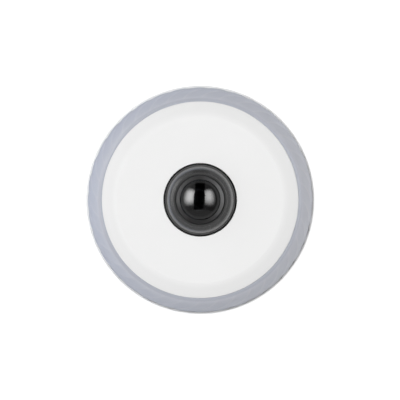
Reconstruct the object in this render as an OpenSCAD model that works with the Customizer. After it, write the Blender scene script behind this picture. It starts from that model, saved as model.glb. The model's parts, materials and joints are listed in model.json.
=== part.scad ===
// Compact panoramic camera that twists onto a plate on the ceiling. All lengths are in millimetres.
// Z = 0 is the ceiling face of the plate. +Z runs out along the lens axis, and +Y is up in the front view.

/* [Housing] */
// Diameter of the round base
base_d = 110; // [109:0.5:118]
// Height of the pale rim below the faceted band
rim_h = 5; // [4.6:0.2:7]
// Gap between the rim and the ceiling
ceiling_gap = 0.6; // [0.4:0.1:1]
// Wall thickness of the cast rear housing
cast_t = 2; // [1.6:0.1:2.2]
// Height of the flat front face above the ceiling
face_z = 33; // [32.8:0.2:40]
// Stiffening ribs in the trough around the back
rib_count = 24; // [12:12:36]
// Thickness of each rib
rib_t = 1.2; // [0.8:0.1:1.4]

/* [Faceted band] */
// Radial width of the band, seen from the front
band_w = 6.75; // [6:0.25:7.25]
// Wall thickness of the band
band_t = 2.2; // [1.8:0.1:2.4]
// Scooped facets around the band
facet_count = 36; // [24:1:48]
// Depth of each scoop at the base
facet_depth = 0.45; // [0:0.05:0.7]
// Angle that the facets twist between the front edge and the base
facet_twist = 22; // [0:1:40]
// Step from the rim in to the band
rim_step = 0.7; // [0.3:0.1:1]

/* [Front cover] */
// Thickness of the front cover
cover_t = 2; // [1.6:0.1:2.2]
// Radial width of the rolled edge
roll_w = 6.65; // [4:0.05:10]
// Drop of the rolled edge
roll_drop = 1.6; // [0.8:0.1:2]
// Height of the straight edge below the roll
edge_h = 1.5; // [1:0.1:2]
// Shadow gap between the cover and the band
shadow_gap = 0.3; // [0.2:0.05:0.5]
// Thickness of the skirt that stands on the rear housing
skirt_t = 1.8; // [1.4:0.1:2.2]

/* [Mounting plate] */
// Sheet thickness of the plate
plate_t = 1.6; // [1.2:0.1:1.8]
// Height of the plate
plate_h = 6; // [5.6:0.1:7]
// Gap between the bayonet collar and the heads of the housing screws
head_gap = 0.8; // [0.6:0.1:2]
// Width of the locking flange
flange_w = 5; // [4:0.25:5]
// Radius of the cable hole
cable_hole_r = 20; // [16:0.5:22]
// Pitch circle diameter of the fixing screws
fix_pcd = 56; // [52:1:58]
// Diameter of each fixing hole
fix_hole_d = 4.5; // [3.5:0.5:5]
// Angle that each bayonet lug covers
lug_angle = 20; // [14:1:22]
// Turn from locked to free
unlock_turn = 24; // [24:1:28]

/* [Lens] */
// Height of the front lens above the flat face
lens_stand = 16; // [15.6:0.2:20]
// Radius of the front lens's outer surface
dome_r = 13; // [12.5:0.1:15]
// Radius of the front lens's edge
dome_edge_r = 10.6; // [10.2:0.1:10.8]
// Thickness of the front lens at its centre
dome_t = 1.5; // [1:0.1:2]
// Radius of the clear opening in the retaining ring
clear_r = 9.7; // [9.4:0.1:9.9]
// Outer radius of the trim ring where it rises from the face
trim_foot_r = 16.8; // [16.6:0.1:18]
// Shadow gap between the trim ring and the face
trim_gap = 0.85; // [0.3:0.05:1]
// Slope of the trim ring's front face in degrees
trim_slope = 38; // [20:1:45]
// Radius of the trim ring's rounded shoulder
shoulder_r = 3; // [1.6:0.1:3]

/* [Filter changer] */
// Distance between the two filters, and the slide's travel
filter_pitch = 7; // [6.8:0.1:7.6]
// Turn of the rotor from one filter to the other
rotor_swing = 70; // [60:1:80]
// Thickness of each filter
filter_t = 0.3; // [0.2:0.05:0.5]

/* [Boards and connectors] */
// Thickness of the main board
main_board_t = 1.4; // [1:0.1:1.6]
// Gap between the main board and the sensor board
board_gap = 1.4; // [1.3:0.1:1.8]
// Width of the network jack
jack_w = 16; // [15.4:0.1:16.4]
// Height of the network jack
jack_h = 11.4; // [11.2:0.1:12.4]
// Width of the connector bay
bay_w = 30; // [29:0.5:32]
// Length of the connector bay
bay_l = 38; // [34:1:40]
// Travel of the reset button
reset_travel = 0.3; // [0.2:0.05:0.4]

/* [Hidden] */
$fn = 96;

// Overrun of every cut, and the clearances of the fits
over = 0.5;
fit_gap = 0.2;
slip_gap = 0.05;
filter_gap = 0.1;

// Segments of each arc in a turned outline
arc_steps = 12;

// Mounting plate and bayonet
plate_room = 1;
collar_gap = 1;
lug_count = 3;
lug_t = 1.8;
lug_reach = 4.6;
lug_gap_angle = 2;
stop_angle = 3;
stop_gap_angle = 0.5;
fix_count = 3;
fix_angle = 90;
flange_z = plate_h - plate_t;
lug_z = flange_z - fit_gap - lug_t;

// Rear housing
base_r = base_d / 2;
band_gap = 0.3;
rim_t = 2.4;
rim_chamfer = 0.4;
rib_lift = 1;
rear_z = plate_h + plate_room;
floor_z = rear_z + cast_t;
ledge_z = ceiling_gap + rim_h;
band_base_r = base_r - rim_step;
band_front_r = band_base_r - band_w;
step_r = band_base_r - band_t - band_gap;
trough_r = step_r - cast_t;

// Front cover
skirt_gap = 0.25;
edge_round = 0.5;
gasket_t = 1;
edge_z = face_z - roll_drop - edge_h;
cover_r = band_front_r - shadow_gap;
skirt_r = band_front_r - band_t - skirt_gap;
skirt_z = floor_z + gasket_t;
flat_r = cover_r - edge_round - roll_w;
roll_r = (roll_w * roll_w + roll_drop * roll_drop) / (2 * roll_drop) + edge_round;
roll_angle = acos(roll_w / (roll_r - edge_round));
cover_back_z = face_z - cover_t;

// Housing screws, which run from the trough into the cover's bosses
screw_count = 3;
screw_angle = 30;
boss_r = 2.9;
boss_offset = 1.8;
boss_l = 12;
boss_gap = 0.2;
screw_shank_r = 1.5;
screw_head_r = 2.6;
screw_head_h = 1.6;
screw_l = 11;
screw_circle_r = skirt_r + boss_offset;

// Bayonet radii, from the screws in to the plate
collar_r = screw_circle_r - screw_head_r - head_gap - cast_t;
flange_r = collar_r - collar_gap;
plate_r = flange_r - flange_w;
lug_r = collar_r - lug_reach;
stop_r = flange_r - plate_t / 4;

// Trim ring around the lens
trim_bore_r = 12;
trim_lip_r = 13;
trim_lip_h = 0.35;
trim_tube_t = 1.6;
trim_wall_t = 1.8;
trim_draft = 1;
trim_flange_w = 3.7;
trim_flange_t = 1.2;
trim_tube_l = 6.4;
shoulder_drop = 10.9;
shoulder_h = lens_stand - shoulder_drop;
shoulder_z = face_z + shoulder_h;
shoulder_c = trim_foot_r - shoulder_h * tan(trim_draft) - shoulder_r / cos(trim_draft);
slope_tip = [shoulder_c + shoulder_r * sin(trim_slope), shoulder_z + shoulder_r * cos(trim_slope)];
wall_tip = [shoulder_c + shoulder_r * cos(trim_draft), shoulder_z + shoulder_r * sin(trim_draft)];
trim_lip_z = slope_tip.y + (slope_tip.x - trim_lip_r) * tan(trim_slope);
trim_top_z = trim_lip_z + trim_lip_h;
trim_flange_z = cover_back_z - trim_flange_t;
trim_tube_z = trim_top_z - trim_tube_l;

// Lens stack, from the front lens back to the rear ring
tip_z = face_z + lens_stand;
barrel_wall_t = 0.9;
ring_drop = 4;
ring_chamfer = 0.35;
dome_back_r = 7.2;
dome_edge_t = 2.5;
second_r = 7.5;
second_drop = 0.6;
second_edge_t = 1.4;
second_front_r = 14;
second_back_r = 4.6;
second_cup_r = 4.2;
front_spacer_t = 0.7;
front_spacer_w = 2.4;
third_r = 5.4;
third_edge_t = 1.6;
third_front_r = 30;
third_back_r = 6.5;
third_cup_r = 3.6;
web_t = 0.7;
web_hole_r = 2.2;
rear_r = 4.8;
stop_t = 0.2;
stop_hole_r = 1.2;
middle_spacer_t = 1.5;
rear_spacer_t = 1.2;
spacer_w = 0.6;
fourth_edge_t = 0.8;
fourth_front_r = 9;
fourth_back_r = 30;
crown_edge_t = 0.8;
crown_front_r = 25;
crown_back_r = 16;
flint_edge_t = 1.2;
rear_ring_t = 0.4;
rear_ring_w = 0.9;
dome_rim_z = tip_z - sag(dome_r, dome_edge_r);
dome_seat_z = dome_rim_z - dome_edge_t;
second_rim_z = dome_seat_z - second_drop;
second_seat_z = second_rim_z - second_edge_t;
third_rim_z = second_seat_z - front_spacer_t;
third_seat_z = third_rim_z - third_edge_t;
web_z = third_seat_z - web_t;
stop_z = web_z - stop_t;
fourth_rim_z = stop_z - middle_spacer_t;
fourth_seat_z = fourth_rim_z - fourth_edge_t;
crown_rim_z = fourth_seat_z - rear_spacer_t;
crown_seat_z = crown_rim_z - crown_edge_t;
flint_seat_z = crown_seat_z - flint_edge_t;
barrel_z = flint_seat_z - rear_ring_t;
barrel_r = dome_edge_r + barrel_wall_t;
shank_r = 7;
shank_top_gap = 0.2;
barrel_cone_h = 1.4;
seal_groove_w = 1.1;
seal_groove_t = 0.55;
seal_drop = 1.1;
seal_r = (trim_bore_r - barrel_r + seal_groove_t) / 2 - slip_gap / 2;
seal_z = dome_seat_z - seal_drop;

// Boards, stacked up from the connectors
jack_gap = 0.2;
jack_z = floor_z + jack_gap;
main_board_z = jack_z + jack_h;
main_top_z = main_board_z + main_board_t;
sensor_board_z = main_top_z + board_gap;
sensor_board_t = 1;
sensor_top_z = sensor_board_z + sensor_board_t;
board_edge_gap = 0.9;
main_board_r = skirt_r - skirt_t - board_edge_gap;
post_inset = 4.4;
post_r = 3.2;
post_count = 4;
post_angle = 45;
post_hole_l = 8;
board_screw_r = 1.25;
board_screw_head_r = 2.3;
board_screw_head_h = 1.5;
board_screw_l = 7;
board_hole_gap = 0.15;
post_circle_r = main_board_r - post_inset;

// Sensor board and the lens holder on it
sensor_board_w = 38;
sensor_board_l = 34;
sensor_board_y = 5;
board_round = 2;
small_screw_r = 1;
small_head_r = 1.9;
small_head_h = 1;
small_screw_l = 1.8;
spacer_r = 2;
corner_inset_x = 3;
corner_inset_y = 2;
sensor_w = 10;
sensor_l = 9;
sensor_t = 0.7;
sensor_glass_t = 0.3;
sensor_glass_inset = 0.3;
holder_wall_t = 1.2;
holder_roof_t = 0.9;
holder_round = 1.5;
neck_wall_t = 2;
lock_ring_t = 1.2;
lock_ring_w = 2;
ear_r = 2.2;
ear_h = 2.6;
ear_x = 16.2;
ear_y = 5;
ear_screw_l = 3;

// Filter changer, which hangs from the holder's roof over the sensor
tray_lift = 0.3;
tray_floor_t = 0.5;
tray_wall_t = 0.8;
tray_end_gap = 0.4;
tray_h = 3;
frame_margin = 0.4;
filter_w = filter_pitch - 2 * frame_margin;
filter_l = 6.8;
filter_lip = 0.5;
filter_sink = 0.5;
slide_t = 1.2;
slide_tab_t = 0.7;
slide_tab_w = 3.2;
slide_tab_wall = 0.55;
pin_r = 0.5;
pin_gap = 0.15;
pin_rise = 0.2;
arm_w = 1.2;
arm_t = 0.5;
magnet_r = 2.3;
pivot_r = 0.6;
rail_w = 0.4;
rail_h = 0.5;
core_gap = 0.4;
core_w = 1.5;
core_t = 1.2;
core_leg = 1.6;
coil_l = 5;
coil_w = 2.8;
coil_t = 2.2;
coil_gap = 1.4;
window_share = 0.62;
tray_z = sensor_top_z + sensor_t + sensor_glass_t + tray_lift;
tray_top_z = tray_z + tray_h;
holder_top_z = tray_top_z + holder_roof_t;
slide_z = tray_z + tray_floor_t + filter_gap;
slide_w = 2 * filter_pitch;
slide_l = filter_l + 2 * frame_margin;
slide_x = -filter_pitch / 2;
arm_l = filter_pitch / (2 * sin(rotor_swing / 2));
pivot_y = slide_l / 2 + fit_gap + arm_l;
pin_near_y = pivot_y - arm_l;
pin_far_y = pivot_y - arm_l * cos(rotor_swing / 2);
magnet_z = slide_z + filter_gap;
arm_z = slide_z + slide_t + fit_gap;
core_x = magnet_r + core_gap;
coil_y = pivot_y + magnet_r + coil_gap + coil_w / 2;
tray_front_y = -slide_l / 2 - filter_gap - rail_w - tray_wall_t;
tray_back_y = coil_y + coil_w / 2 + filter_gap + tray_wall_t;
tray_w = slide_w + filter_pitch + 2 * (tray_end_gap + tray_wall_t);
tray_l = tray_back_y - tray_front_y;
tray_y = (tray_back_y + tray_front_y) / 2;
holder_w = tray_w + 2 * (filter_gap + holder_wall_t);
holder_l = tray_l + 2 * (filter_gap + holder_wall_t);
neck_top_z = web_z + shank_top_gap - lock_ring_t - fit_gap;

// Connector bay, sunk into the rear housing
bay_wall_t = 1.6;
bay_round = 3;
bay_roof_t = 1.2;
bay_roof_gap = 0.8;
bay_top_z = main_board_z - bay_roof_gap;
jack_l = 18;
jack_x = -6;
jack_set = 0.5;
jack_inset = 25.9;
jack_y = main_board_r - jack_inset;
bay_end_y = jack_y - jack_set;
bay_y = bay_end_y - bay_l / 2;
jack_wall_t = 1.1;
plug_w = 11.8;
plug_h = 6.8;
plug_l = 12.5;
latch_w = 6.2;
latch_h = 1.6;
contact_count = 8;
contact_pitch = 1.02;
contact_w = 0.45;
contact_t = 0.3;
contact_l = 7;
contact_tilt = 12;
power_w = 9;
power_h = 11;
power_l = 14;
power_x = 8.7;
power_bore_r = 3.1;
power_bore_l = 9.5;
power_pin_r = 1;
power_pin_l = 8.5;

// Parts on the main board, with their insets from its edge
chip_w = 14;
chip_t = 1.6;
chip_inset = 15.4;
chip_x = chip_inset - main_board_r;
chip_y = -8;
pad_t = 1;
pad_inset = 1;
heat_boss_w = 16;
heat_core_t = 3;
ram_w = 9;
ram_l = 11;
ram_t = 1;
ram_inset = 14.4;
ram_x = -18;
ram_y = main_board_r - ram_inset;
ram_step_x = 11;
ram_step_y = 2;
transformer_w = 13;
transformer_h = 7.5;
transformer_inset = 12.4;
transformer_x = main_board_r - transformer_inset;
transformer_y = -8;
winding_r = 4.6;
bobbin_t = 1.2;
cap_r = 4;
cap_h = 7.4;
cap_ring_t = 0.3;
cap_crimp_z = 1.2;
cap_inset = 8.4;
cap_circle_r = main_board_r - cap_inset;
cap_angles = [196, 211, 240];
magnetics_w = 12.7;
magnetics_l = 7.4;
magnetics_h = 4;
magnetics_inset = 11.4;
magnetics_x = 10;
magnetics_y = main_board_r - magnetics_inset;
socket_w = 14;
socket_l = 15;
socket_h = 1.7;
socket_inset = 13.4;
socket_x = socket_inset - main_board_r;
socket_y = 10;
card_w = 11.4;
card_t = 0.9;
card_l = 12;

// Reset button and its switch
reset_inset = 18.4;
reset_x = main_board_r - reset_inset;
reset_y = -14;
reset_r = 1.6;
reset_flange_r = 2.6;
reset_flange_t = 0.8;
reset_boss_r = 4;
reset_boss_h = 2;
reset_proud = 0.6;
switch_w = 6;
switch_h = 3.2;
plunger_r = 1.4;
plunger_h = 0.8;
plunger_l = 2;
switch_z = main_board_z - switch_h;
plunger_z = switch_z - plunger_h;

// Band mesh: columns per facet, and rings down the outside and the inside
facet_cols = 4;
outer_steps = 8;
inner_steps = 8;
band_cols = facet_count * facet_cols;

// Depth of a spherical cap of radius r over a circle of radius c
function sag(r, c) = r - sqrt(r * r - c * c);

// Band profile: s runs from 0 at the front edge to 1 at the base, along a quarter ellipse
function band_r(s) = band_front_r + band_w * sin(90 * s);
function band_z(s) = edge_z - (edge_z - ledge_z) * (1 - cos(90 * s));
function scoop(j) = let (share = (j % facet_cols) / facet_cols) 4 * share * (1 - share);
function band_point(s, j, depth) =
    let (r = band_r(s) - depth, a = 360 * j / band_cols - facet_twist * (1 - cos(90 * s)))
    [r * cos(a), r * sin(a), band_z(s)];
function outer_point(s, j) = band_point(s, j, facet_depth * sin(90 * s) * scoop(j));
function inner_point(s, j) = band_point(s, j, band_t);

// Points of an arc about c, from angle a to angle b
function arc(c, r, a, b) = [
    for (i = [0 : arc_steps]) let (t = a + (b - a) * i / arc_steps) [c.x + r * cos(t), c.y + r * sin(t)]
];

// Ring of rectangular section
module tube(r_out, r_in, h) {
    difference() {
        cylinder(r = r_out, h = h);
        translate([0, 0, -over]) cylinder(r = r_in, h = h + 2 * over);
    }
}

// Part of a ring between two radii, from angle a for a width of w degrees
module sector(r_in, r_out, h, a, w) {
    rotate([0, 0, a])
        rotate_extrude(angle = w)
            translate([r_in, 0])
                square([r_out - r_in, h]);
}

// Plate with rounded corners, centred in X and Y
module slab(w, l, h, r) {
    linear_extrude(h)
        union() {
            square([w - 2 * r, l], center = true);
            square([w, l - 2 * r], center = true);
            for (x = [-1, 1], y = [-1, 1])
                translate([x * (w / 2 - r), y * (l / 2 - r)]) circle(r = r);
        }
}

// Block centred in X and Y and standing on Z = 0
module block(w, l, h) {
    translate([-w / 2, -l / 2, 0]) cube([w, l, h]);
}

// Copies around the lens axis at radius r
module around(count, r, first) {
    for (i = [0 : count - 1])
        rotate([0, 0, first + 360 * i / count]) translate([r, 0, 0]) children();
}

// Pan-head screw with its head on Z = 0 and its shank along -Z
module screw(head_r, head_h, shank_r, l) {
    difference() {
        union() {
            cylinder(r = head_r, h = head_h);
            translate([0, 0, -l]) cylinder(r = shank_r, h = l + slip_gap);
        }
        translate([0, 0, head_h / 2]) cylinder(r = head_r / 2, h = head_h, $fn = 6);
    }
}

// Disc with a convex front through its rim at z1
module domed_disc(r, z0, z1, front_r) {
    top = z1 + sag(front_r, r);
    intersection() {
        translate([0, 0, z0]) cylinder(r = r, h = top - z0);
        translate([0, 0, top - front_r]) sphere(r = front_r, $fn = 160);
    }
}

// Meniscus lens: convex front, and a hollow back that opens to cup_r at z0
module cup_lens(r, z0, z1, front_r, back_r, cup_r) {
    difference() {
        domed_disc(r, z0, z1, front_r);
        translate([0, 0, z0 + sag(back_r, cup_r) - back_r]) sphere(r = back_r, $fn = 160);
    }
}

// Lens that is convex on both sides
module biconvex_lens(r, z0, z1, front_r, back_r) {
    bottom = z0 - sag(back_r, r);
    intersection() {
        domed_disc(r, bottom, z1, front_r);
        translate([0, 0, bottom + back_r]) sphere(r = back_r, $fn = 160);
    }
}

// Pressed steel plate that is screwed to the ceiling, with the female half of the bayonet
module mounting_plate() {
    color("silver")
    difference() {
        union() {
            rotate_extrude() polygon([
                [cable_hole_r, 0], [plate_r, 0], [plate_r, flange_z], [flange_r, flange_z],
                [flange_r, plate_h], [plate_r - plate_t, plate_h],
                [plate_r - plate_t, plate_t], [cable_hole_r, plate_t]
            ]);
            for (i = [0 : lug_count - 1]) {
                locked = 360 * i / lug_count - lug_angle / 2 - stop_gap_angle - stop_angle;
                free = 360 * i / lug_count + unlock_turn + lug_angle / 2 + stop_gap_angle;
                translate([0, 0, lug_z]) {
                    sector(plate_r - plate_t / 2, stop_r, flange_z - lug_z + plate_t / 2, locked, stop_angle);
                    sector(plate_r - plate_t / 2, stop_r, flange_z - lug_z + plate_t / 2,
                        free + lug_gap_angle, stop_angle);
                }
            }
        }
        for (i = [0 : lug_count - 1])
            translate([0, 0, flange_z - over])
                sector(lug_r - fit_gap, flange_r + over, plate_t + 2 * over,
                    360 * i / lug_count + unlock_turn - lug_angle / 2 - lug_gap_angle,
                    lug_angle + 2 * lug_gap_angle);
        around(fix_count, fix_pcd / 2, fix_angle)
            translate([0, 0, -over]) cylinder(d = fix_hole_d, h = plate_t + 2 * over);
    }
}

// Section of the cast housing: floor, bayonet collar, trough, and the rim that shows from the front
module housing_profile() {
    polygon([
        [0, rear_z], [collar_r, rear_z], [collar_r, ceiling_gap], [collar_r + cast_t, ceiling_gap],
        [collar_r + cast_t, rear_z], [trough_r, rear_z], [trough_r, ledge_z - cast_t],
        [base_r - rim_t, ledge_z - cast_t], [base_r - rim_t, ceiling_gap], [base_r, ceiling_gap],
        [base_r, ledge_z - rim_chamfer], [base_r - rim_chamfer, ledge_z], [step_r, ledge_z],
        [step_r, floor_z], [0, floor_z]
    ]);
}

// Radial rib in the trough, drawn in the XZ plane
module trough_rib() {
    inner = collar_r + cast_t / 2;
    outer = base_r - rim_t / 2;
    low = ceiling_gap + rib_lift;
    rotate([90, 0, 0])
        translate([0, 0, -rib_t / 2])
            linear_extrude(rib_t)
                polygon([
                    [inner, low], [outer, low], [outer, ledge_z - cast_t / 2],
                    [trough_r + cast_t / 2, ledge_z - cast_t / 2],
                    [trough_r + cast_t / 2, rear_z + cast_t / 2], [inner, rear_z + cast_t / 2]
                ]);
}

// Die-cast rear housing with the bayonet lugs, the connector bay and the board posts
module rear_housing() {
    color("whitesmoke")
    difference() {
        union() {
            rotate_extrude() housing_profile();
            around(rib_count, 0, 180 / rib_count) trough_rib();
            for (i = [0 : lug_count - 1])
                translate([0, 0, lug_z])
                    sector(lug_r, collar_r + cast_t / 2, lug_t,
                        360 * i / lug_count - lug_angle / 2, lug_angle);
            translate([0, bay_y, rear_z])
                slab(bay_w + 2 * bay_wall_t, bay_l + 2 * bay_wall_t, bay_top_z - rear_z,
                    bay_round + bay_wall_t);
            around(post_count, post_circle_r, post_angle)
                translate([0, 0, rear_z + cast_t / 2])
                    cylinder(r = post_r, h = main_board_z - rear_z - cast_t / 2);
            translate([chip_x, chip_y, rear_z])
                block(heat_boss_w, heat_boss_w, main_board_z - chip_t - pad_t - rear_z);
            translate([reset_x, reset_y, rear_z]) cylinder(r = reset_boss_r, h = cast_t + reset_boss_h);
        }
        translate([0, bay_y, rear_z - over])
            slab(bay_w, bay_l, bay_top_z - bay_roof_t - rear_z + over, bay_round);
        translate([jack_x, bay_end_y + bay_wall_t / 2, jack_z - fit_gap])
            block(jack_w + 2 * fit_gap, bay_wall_t + 2 * over, jack_h);
        translate([power_x, bay_end_y + bay_wall_t / 2, main_board_z - power_h - fit_gap])
            block(power_w + 2 * fit_gap, bay_wall_t + 2 * over, power_h);
        translate([chip_x, chip_y, rear_z - over])
            block(heat_boss_w - 2 * heat_core_t, heat_boss_w - 2 * heat_core_t,
                main_board_z - chip_t - pad_t - heat_core_t - rear_z + over);
        around(post_count, post_circle_r, post_angle)
            translate([0, 0, main_board_z - post_hole_l])
                cylinder(r = board_screw_r + slip_gap, h = post_hole_l + over);
        around(screw_count, screw_circle_r, screw_angle)
            translate([0, 0, rear_z - over]) cylinder(r = screw_shank_r + fit_gap, h = cast_t + 2 * over);
        translate([reset_x, reset_y, rear_z - over])
            cylinder(r = reset_r + slip_gap, h = cast_t + reset_boss_h + 2 * over);
    }
}

// Moulded band: scooped facets that twist as they widen towards the base
module side_ring() {
    rings = outer_steps + inner_steps + 2;
    points = [
        for (i = [0 : outer_steps]) for (j = [0 : band_cols - 1]) outer_point(i / outer_steps, j),
        for (i = [0 : inner_steps]) for (j = [0 : band_cols - 1]) inner_point(1 - i / inner_steps, j)
    ];
    faces = [
        for (i = [0 : rings - 1]) for (j = [0 : band_cols - 1])
            let (
                a = i * band_cols + j,
                b = i * band_cols + (j + 1) % band_cols,
                c = ((i + 1) % rings) * band_cols + (j + 1) % band_cols,
                d = ((i + 1) % rings) * band_cols + j
            )
            each i <= outer_steps ? [[a, b, c], [a, c, d]] : [[a, b, d], [b, c, d]]
    ];
    color("lightsteelblue") polyhedron(points = points, faces = faces);
}

// Section of the front cover: flat face, rolled edge, rounded corner, straight edge and skirt
module cover_profile() {
    hole_r = trim_foot_r + trim_gap;
    inner_r = skirt_r - skirt_t;
    polygon(concat(
        [[inner_r, skirt_z], [inner_r, cover_back_z], [hole_r, cover_back_z], [hole_r, face_z]],
        arc([flat_r, face_z - roll_r], roll_r, 90, roll_angle),
        arc([cover_r - edge_round, face_z - roll_drop - edge_round], edge_round, roll_angle, 0),
        [[cover_r, edge_z], [skirt_r, edge_z], [skirt_r, skirt_z]]
    ));
}

// White front cover with the screw bosses on its skirt
module front_cover() {
    color("white")
    difference() {
        union() {
            rotate_extrude() cover_profile();
            around(screw_count, screw_circle_r, screw_angle)
                translate([0, 0, skirt_z + boss_gap]) cylinder(r = boss_r, h = boss_l - boss_gap);
        }
        around(screw_count, screw_circle_r, screw_angle)
            translate([0, 0, skirt_z - over]) cylinder(r = screw_shank_r + slip_gap, h = boss_l);
    }
}

// Soft gasket between the cover's skirt and the rear housing
module cover_gasket() {
    color("dimgray")
    translate([0, 0, floor_z])
    difference() {
        union() {
            tube(skirt_r, skirt_r - skirt_t, gasket_t);
            around(screw_count, screw_circle_r, screw_angle) cylinder(r = boss_r, h = gasket_t);
        }
        around(screw_count, screw_circle_r, screw_angle)
            translate([0, 0, -over]) cylinder(r = screw_shank_r + fit_gap, h = gasket_t + 2 * over);
    }
}

// Screws from the trough into the cover's bosses
module housing_screws() {
    color("gray")
    around(screw_count, screw_circle_r, screw_angle)
        translate([0, 0, rear_z]) mirror([0, 0, 1])
            screw(screw_head_r, screw_head_h, screw_shank_r, screw_l);
}

// Section of the trim ring: inner tube, lip, slope, round shoulder, drafted wall and hidden flange
module trim_profile() {
    inner_r = trim_foot_r - trim_wall_t;
    hollow_z = shoulder_z - trim_wall_t / 2;
    polygon(concat(
        [
            [trim_bore_r, trim_tube_z], [trim_bore_r, trim_top_z], [trim_lip_r, trim_top_z],
            [trim_lip_r, trim_lip_z]
        ],
        arc([shoulder_c, shoulder_z], shoulder_r, 90 - trim_slope, trim_draft),
        [
            [trim_foot_r, face_z], [trim_foot_r, cover_back_z],
            [trim_foot_r + trim_flange_w, cover_back_z], [trim_foot_r + trim_flange_w, trim_flange_z],
            [inner_r, trim_flange_z], [inner_r, face_z], [wall_tip.x - trim_wall_t, hollow_z],
            [trim_bore_r + trim_tube_t, hollow_z], [trim_bore_r + trim_tube_t, trim_tube_z]
        ]
    ));
}

// Glossy black trim ring around the lens
module lens_trim_ring() {
    color([0.06, 0.06, 0.065]) rotate_extrude() trim_profile();
}

// O-ring between the barrel and the trim ring
module lens_seal() {
    color([0.12, 0.12, 0.12])
    translate([0, 0, seal_z])
        rotate_extrude()
            translate([barrel_r - seal_groove_t + slip_gap / 4 + seal_r, 0]) circle(r = seal_r);
}

// Ring that holds the front lens in the barrel
module lens_retaining_ring() {
    ring_top_z = tip_z - ring_drop;
    color([0.1, 0.1, 0.105])
    difference() {
        rotate_extrude()
            polygon([
                [clear_r, dome_rim_z], [barrel_r, dome_rim_z], [barrel_r, ring_top_z - ring_chamfer],
                [barrel_r - ring_chamfer, ring_top_z], [clear_r, ring_top_z]
            ]);
        translate([0, 0, tip_z - dome_r]) sphere(r = dome_r + slip_gap, $fn = 160);
    }
}

// Domed outer lens
module front_lens() {
    color([0.25, 0.28, 0.3, 0.5])
    difference() {
        domed_disc(dome_edge_r, dome_seat_z, dome_rim_z, dome_r);
        translate([0, 0, tip_z - dome_t - dome_back_r]) sphere(r = dome_back_r, $fn = 160);
    }
}

// Barrel with stepped pockets for the lenses and a thread shank for the holder
module lens_barrel() {
    color([0.09, 0.09, 0.09])
    rotate_extrude()
    difference() {
        polygon([
            [rear_r + slip_gap, barrel_z], [shank_r, barrel_z], [shank_r, web_z + shank_top_gap],
            [second_r + barrel_wall_t, web_z + shank_top_gap],
            [second_r + barrel_wall_t, second_seat_z - barrel_cone_h], [barrel_r, second_seat_z],
            [barrel_r, dome_rim_z], [dome_edge_r + slip_gap, dome_rim_z],
            [dome_edge_r + slip_gap, dome_seat_z], [second_r + slip_gap, dome_seat_z],
            [second_r + slip_gap, third_rim_z], [third_r + slip_gap, third_rim_z],
            [third_r + slip_gap, third_seat_z], [web_hole_r, third_seat_z], [web_hole_r, web_z],
            [rear_r + slip_gap, web_z]
        ]);
        translate([barrel_r - seal_groove_t, seal_z - seal_groove_w / 2])
            square([seal_groove_t + over, seal_groove_w]);
    }
}

// Second lens, a deep meniscus behind the dome
module second_lens() {
    color([0.4, 0.5, 0.55, 0.5])
        cup_lens(second_r, second_seat_z, second_rim_z, second_front_r, second_back_r, second_cup_r);
}

// Ball that the front of a lens lies on, a little larger so that a spacer seats clear of the glass
module front_ball(r, z1, front_r) {
    translate([0, 0, z1 + sag(front_r, r) - front_r]) sphere(r = front_r + slip_gap, $fn = 160);
}

// Ring that spaces the second lens from the third
module front_spacer() {
    color("black")
    difference() {
        translate([0, 0, third_rim_z]) tube(second_r, second_r - front_spacer_w, front_spacer_t);
        front_ball(third_r, third_rim_z, third_front_r);
    }
}

// Third lens, the last of the front group
module third_lens() {
    color([0.4, 0.5, 0.55, 0.5])
        cup_lens(third_r, third_seat_z, third_rim_z, third_front_r, third_back_r, third_cup_r);
}

// Thin disc that sets the aperture
module aperture_stop() {
    color("black") translate([0, 0, stop_z]) tube(rear_r, stop_hole_r, stop_t);
}

// Ring between the stop and the fourth lens
module middle_spacer() {
    color("black")
    difference() {
        translate([0, 0, fourth_rim_z]) tube(rear_r, rear_r - spacer_w, middle_spacer_t);
        front_ball(rear_r, fourth_rim_z, fourth_front_r);
    }
}

// Fourth lens, convex on both sides
module fourth_lens() {
    color([0.45, 0.55, 0.55, 0.5])
        biconvex_lens(rear_r, fourth_seat_z, fourth_rim_z, fourth_front_r, fourth_back_r);
}

// Ring between the fourth lens and the cemented pair
module rear_spacer() {
    color("black")
    difference() {
        translate([0, 0, crown_rim_z]) tube(rear_r, rear_r - spacer_w, rear_spacer_t);
        front_ball(rear_r, crown_rim_z, crown_front_r);
        translate([0, 0, fourth_seat_z - sag(fourth_back_r, rear_r) + fourth_back_r])
            sphere(r = fourth_back_r + slip_gap, $fn = 160);
    }
}

// Front glass of the cemented pair
module crown_lens() {
    color([0.5, 0.6, 0.6, 0.5])
        biconvex_lens(rear_r, crown_seat_z, crown_rim_z, crown_front_r, crown_back_r);
}

// Rear glass of the cemented pair, hollowed to take the crown
module flint_lens() {
    color([0.5, 0.55, 0.65, 0.5])
    difference() {
        translate([0, 0, flint_seat_z]) cylinder(r = rear_r, h = flint_edge_t);
        translate([0, 0, crown_seat_z - sag(crown_back_r, rear_r) + crown_back_r])
            sphere(r = crown_back_r, $fn = 160);
    }
}

// Threaded ring that closes the back of the barrel
module rear_lens_ring() {
    color("black") translate([0, 0, barrel_z]) tube(rear_r, rear_r - rear_ring_w, rear_ring_t);
}

// Ring that locks the barrel after focusing
module focus_lock_ring() {
    color("dimgray")
        translate([0, 0, neck_top_z + slip_gap])
            tube(shank_r + lock_ring_w, shank_r + slip_gap, lock_ring_t);
}

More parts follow.
